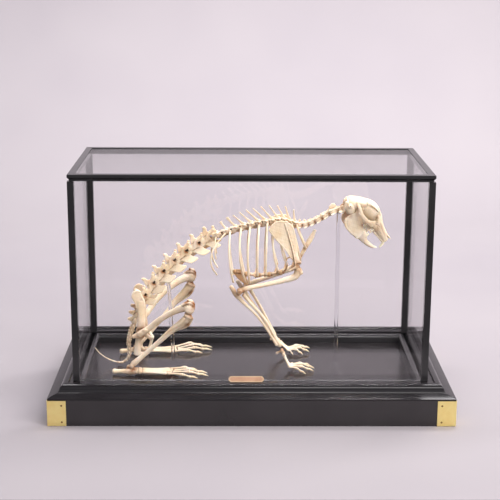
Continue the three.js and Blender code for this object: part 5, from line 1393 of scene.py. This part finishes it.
def moulding_profile(inner):
    m = MOULDING
    shoulder = m["cove_top"] + m["shoulder"]
    points = [(0.8, ON_PLINTH), (0.8, m["foot"]), (6, m["foot"] + 2.1), (m["cove"], m["cove_top"]),
        (m["bead"], shoulder)]
    for i in range(1, 13):
        a = math.pi / 2 * i / 12
        points.append((m["bead"] + m["round"] * (1 - math.cos(a)),
            shoulder + (m["bead_top"] - shoulder) * math.sin(a)))
    points += [(m["bend"] - 1.5, m["bead_top"]), (m["bend"], m["ledge"]), (inner, m["ledge"]),
        (inner, ON_PLINTH)]
    return points


def bead_profile():
    b = INNER_BEAD
    points = [(0, ON_PLINTH), (0, b["shoulder"])]
    for i in range(1, 17):
        a = math.pi * (1 - i / 16)
        points.append((b["width"] / 2 * (1 + math.cos(a)),
            b["shoulder"] + (b["top"] - b["shoulder"]) * math.sin(a)))
    points.append((b["width"], ON_PLINTH))
    return points


for side, turn, long, offset in SIDES:
    outer, inner = (PLINTH["width"], CASE["width"]) if long else (PLINTH["length"], CASE["length"])
    reach = (outer - inner) / 2 - offset + PANE["inset"] - GAP
    half = (PLINTH["length"] / 2, PLINTH["width"] / 2) if long else (PLINTH["width"] / 2,
        PLINTH["length"] / 2)
    hard_piece(f"moulding_{side}_fine", f"moulding_{side}",
        [profile_run(moulding_profile(reach), *half, turn)], GLOSS)
    length, width = CASE["length"] - GLASS_INNER, CASE["width"] - GLASS_INNER
    half = (length / 2, width / 2) if long else (width / 2, length / 2)
    hard_piece(f"inner_bead_{side}_fine", f"inner_bead_{side}",
        [profile_run(bead_profile(), *half, turn, CASE["x"])], FRAME)
    dress(f"top_rail_{side}", FRAME)
    bevelled(f"top_rail_{side}", 0.4)

for name in ("front_left", "front_right", "back_left", "back_right"):
    dress(f"post_{name}", FRAME)
    bevelled(f"post_{name}", 0.6)
for name in ("front", "back", "left", "right", "top"):
    dress(f"glass_{name}", GLASS)
dress("plinth", WOOD)
bevelled("plinth", 0.8)

# Brass corners: a folded sheet with two pins in each face
CORNER = {"reach": 28.0, "thick": 0.7, "margin": 0.6, "bend": 1.4}
PINS = {"from_corner": 21.5, "heights": (6.4, 32.0), "radius": 1.5, "sunk": 0.1, "proud": 0.5}


def brass_corner(name, sx, sy):
    x, y = PLINTH["length"] / 2, PLINTH["width"] / 2
    low, high = CORNER["margin"], PLINTH["height"] - CORNER["margin"]
    t, r, bend = CORNER["thick"], CORNER["reach"], CORNER["bend"]
    outer, inner = [(x - r, y)], [(x - r, y - t)]
    for i in range(7):
        a = math.pi / 2 * (1 - i / 6)
        outer.append((x - bend + bend * math.cos(a), y - bend + bend * math.sin(a)))
        inner.append((x - bend + (bend - t) * math.cos(a), y - bend + (bend - t) * math.sin(a)))
    outer.append((x, y - r))
    inner.append((x - t, y - r))
    loop = outer + inner[::-1]
    n = len(loop)
    points = np.array([(sx * u, sy * v, z) for z in (low, high) for u, v in loop])
    faces = band_faces(2, n)
    count = len(outer)
    for i in range(count - 1):
        for base in (0, n):
            faces.append((base + i, base + i + 1, base + n - 2 - i, base + n - 1 - i))
    hard_piece(f"brass_{name}", f"brass_corner_{name}", [(points, faces)], BRASS)
    pins = []
    u, radius, proud = PINS["from_corner"], PINS["radius"], PINS["proud"]
    for height in PINS["heights"]:
        pins += [ball((sx * (x - u), sy * (y - PINS["sunk"]), height), (radius, proud, radius), sides=16,
            rings=8), ball((sx * (x - PINS["sunk"]), sy * (y - u), height), (proud, radius, radius),
            sides=16, rings=8)]
    hard_piece(f"pins_{name}", f"brass_corner_{name}", pins, PIN)


for name, sx, sy in (("front_left", -1, -1), ("front_right", 1, -1), ("back_left", -1, 1),
    ("back_right", 1, 1)):
    brass_corner(name, sx, sy)

# The plaque has hollowed corners, stands on the ledge and leans on the front pane
PLAQUE = {"x": -8.4, "y": -124.0, "z": 55.3, "length": 52.4, "height": 8.8, "thick": 1.0, "lean": 0.36,
    "notch": 2.3, "rim": 1.3, "sunk": 0.35, "play": 0.02}


def plaque_outline(inset):
    half, height, notch = PLAQUE["length"] / 2 - inset, PLAQUE["height"], PLAQUE["notch"]
    loop = []
    for u, v, start, stop in ((half, inset, 180, 90), (half, height - inset, -90, -180),
        (-half, height - inset, 0, -90), (-half, inset, 90, 0)):
        for i in range(9):
            a = math.radians(start + (stop - start) * i / 8)
            loop.append((u + notch * math.cos(a), v + notch * math.sin(a)))
    return loop


def plaque_point(u, v, out):
    lean = math.pi / 2 - PLAQUE["lean"]
    y = v * math.cos(lean) - out * math.sin(lean)
    z = v * math.sin(lean) + out * math.cos(lean)
    return (PLAQUE["x"] + u, PLAQUE["y"] + y, PLAQUE["z"] + z)


def build_plaque():
    outer, inner = plaque_outline(0.0), plaque_outline(PLAQUE["rim"])
    n = len(outer)
    back, face, sunk = 0.0, PLAQUE["thick"], PLAQUE["thick"] - PLAQUE["sunk"]
    rim_points = np.array([plaque_point(u, v, out) for out,
        loop in ((back, outer), (face, outer), (face, inner), (back, inner)) for u, v in loop])
    faces = []
    for k in range(4):
        for i in range(n):
            j = (i + 1) % n
            a, b = k * n, ((k + 1) % 4) * n
            faces.append((a + i, a + j, b + j, b + i))
    hard_piece("plaque_rim", "plaque", [(rim_points, faces)], RIM)
    inside = plaque_outline(PLAQUE["rim"] + PLAQUE["play"])
    points = np.array([plaque_point(u, v, out) for out in (PLAQUE["play"], sunk) for u, v in inside])
    hard_piece("plaque_face", "plaque", [(points, capped(2, n))], COPPER)


build_plaque()

RODS = {"rod_front": [(134.6, 7.7, 40.3), (134.6, 9.5, 282)],
    "rod_rear": [(-121.5, -6.4, 40.3), (-129.7, -6, 190)]}
for node, (low, high) in RODS.items():
    shape = tube([station(low, 2.9), between(low, high, 0.5, 2.9), station(high, 2.9)], across=(1, 0, 0),
        sides=24, per_span=2, dome=0.15)
    hard_piece(f"{node}_clear", node, [shape], ROD)


# The floor and the backdrop, the lights and the camera, all in metres

def stage_material():
    made, tree, shader = material("pale_backdrop")
    place = object_place(tree)
    tone = mixed(tree, levels(tree, noise_node(tree, place, 2.2, 2.0), 0.3, 0.7), srgb(136, 131, 135),
        srgb(141, 136, 139))
    tree.links.new(tone, shader.inputs["Base Color"])
    shader.inputs["Roughness"].default_value = 0.8
    shader.inputs["Specular IOR Level"].default_value = 0.2
    return made


BACKDROP = {"front": -0.402, "bend": 1.1, "radius": 0.7, "top": 2.6, "half_width": 2.4}


def build_stage():
    bend, radius = BACKDROP["bend"], BACKDROP["radius"]
    rows = [(BACKDROP["front"], 0.0), (0.6, 0.0), (bend, 0.0)]
    for i in range(1, 13):
        a = math.pi / 2 * i / 12
        rows.append((bend + radius * math.sin(a), radius * (1 - math.cos(a))))
    rows.append((bend + radius, BACKDROP["top"]))
    points = [(x, y, z) for y, z in rows for x in (-BACKDROP["half_width"], BACKDROP["half_width"])]
    faces = [(2 * i, 2 * i + 1, 2 * i + 3, 2 * i + 2) for i in range(len(rows) - 1)]
    mesh = bpy.data.meshes.new("floor")
    mesh.from_pydata(points, [], faces)
    mesh.polygons.foreach_set("use_smooth", [True] * len(mesh.polygons))
    obj = bpy.data.objects.new("floor", mesh)
    bpy.context.scene.collection.objects.link(obj)
    mesh.materials.append(stage_material())


build_stage()


def lamp(name, place, aim, size, power, colour, mirrored):
    data = bpy.data.lights.new(name, "AREA")
    data.shape = "RECTANGLE"
    data.size, data.size_y = size
    data.energy = power
    data.color = colour
    obj = bpy.data.objects.new(name, data)
    obj.location = place
    way = np.array(aim, float) - np.array(place, float)
    obj.rotation_euler = Vector(way).to_track_quat("-Z", "Y").to_euler()
    obj.visible_glossy = mirrored
    bpy.context.scene.collection.objects.link(obj)


# Lamps: place, aim, size, power, colour and whether they show in mirrors
LAMPS = {"key": ((1.7, -1.2, 1.6), (0, 0, 0.15), (1.1, 1.0), 42, (1, 0.965, 0.94), True),
    "front": ((1.0, -2.0, 1.9), (0.1, 0, 0.2), (2.4, 0.8), 60, (1, 0.975, 0.96), True),
    "overhead": ((0.3, 0.1, 2.2), (0.1, 0.1, 0), (1.8, 1.2), 26, (1, 0.97, 0.97), False),
    "wall_wash": ((0.4, 0.7, 2.5), (0.0, 1.8, 1.0), (2.4, 0.5), 140, (1, 0.97, 0.99), True),}
for name, row in LAMPS.items():
    lamp(name, *row)

def build_world():
    """A room that is pale at eye height, and darker below and overhead."""
    world = bpy.data.worlds.new("room")
    bpy.context.scene.world = world
    world.use_nodes = True
    tree = world.node_tree
    sky = tree.nodes["Background"]
    split = new_node(tree, "SeparateXYZ")
    join(tree, (new_node(tree, "TexCoord").outputs["Generated"], split.inputs["Vector"]))
    below = levels(tree, split.outputs["Z"], -0.12, 0.12, 0.08, 0.84)
    above = levels(tree, split.outputs["Z"], 0.45, 0.8, 1.0, 0.3)
    join(tree, (product(tree, below, above), sky.inputs["Strength"]))
    sky.inputs["Color"].default_value = (0.95, 0.94, 1.0, 1)


build_world()


# Solved from the edges of plinth and case in the photograph. The lens is in pixels of its 500 wide frame.
CAMERA = {"place": (-0.022464, -1.823185, 0.692965), "yaw": 0.011, "pitch": 14.36, "roll": 0.005,
    "lens": 1214.133, "picture": 500, "sensor": 36}


def place_camera():
    yaw, pitch, roll = CAMERA["yaw"], math.radians(CAMERA["pitch"]), CAMERA["roll"]
    ahead = Vector((math.sin(yaw) * math.cos(pitch), math.cos(yaw) * math.cos(pitch), -math.sin(pitch)))
    right = Vector((math.cos(yaw), -math.sin(yaw), 0))
    up = right.cross(ahead)
    level, tilt = math.cos(roll), math.sin(roll)
    right, up = level * right + tilt * up, level * up - tilt * right
    data = bpy.data.cameras.new("camera")
    data.sensor_width = CAMERA["sensor"]
    data.lens = CAMERA["lens"] / CAMERA["picture"] * CAMERA["sensor"]
    obj = bpy.data.objects.new("camera", data)
    turn = Matrix((right, up, -ahead)).transposed().to_4x4()
    obj.matrix_world = Matrix.Translation(CAMERA["place"]) @ turn
    bpy.context.scene.collection.objects.link(obj)
    bpy.context.scene.camera = obj


place_camera()
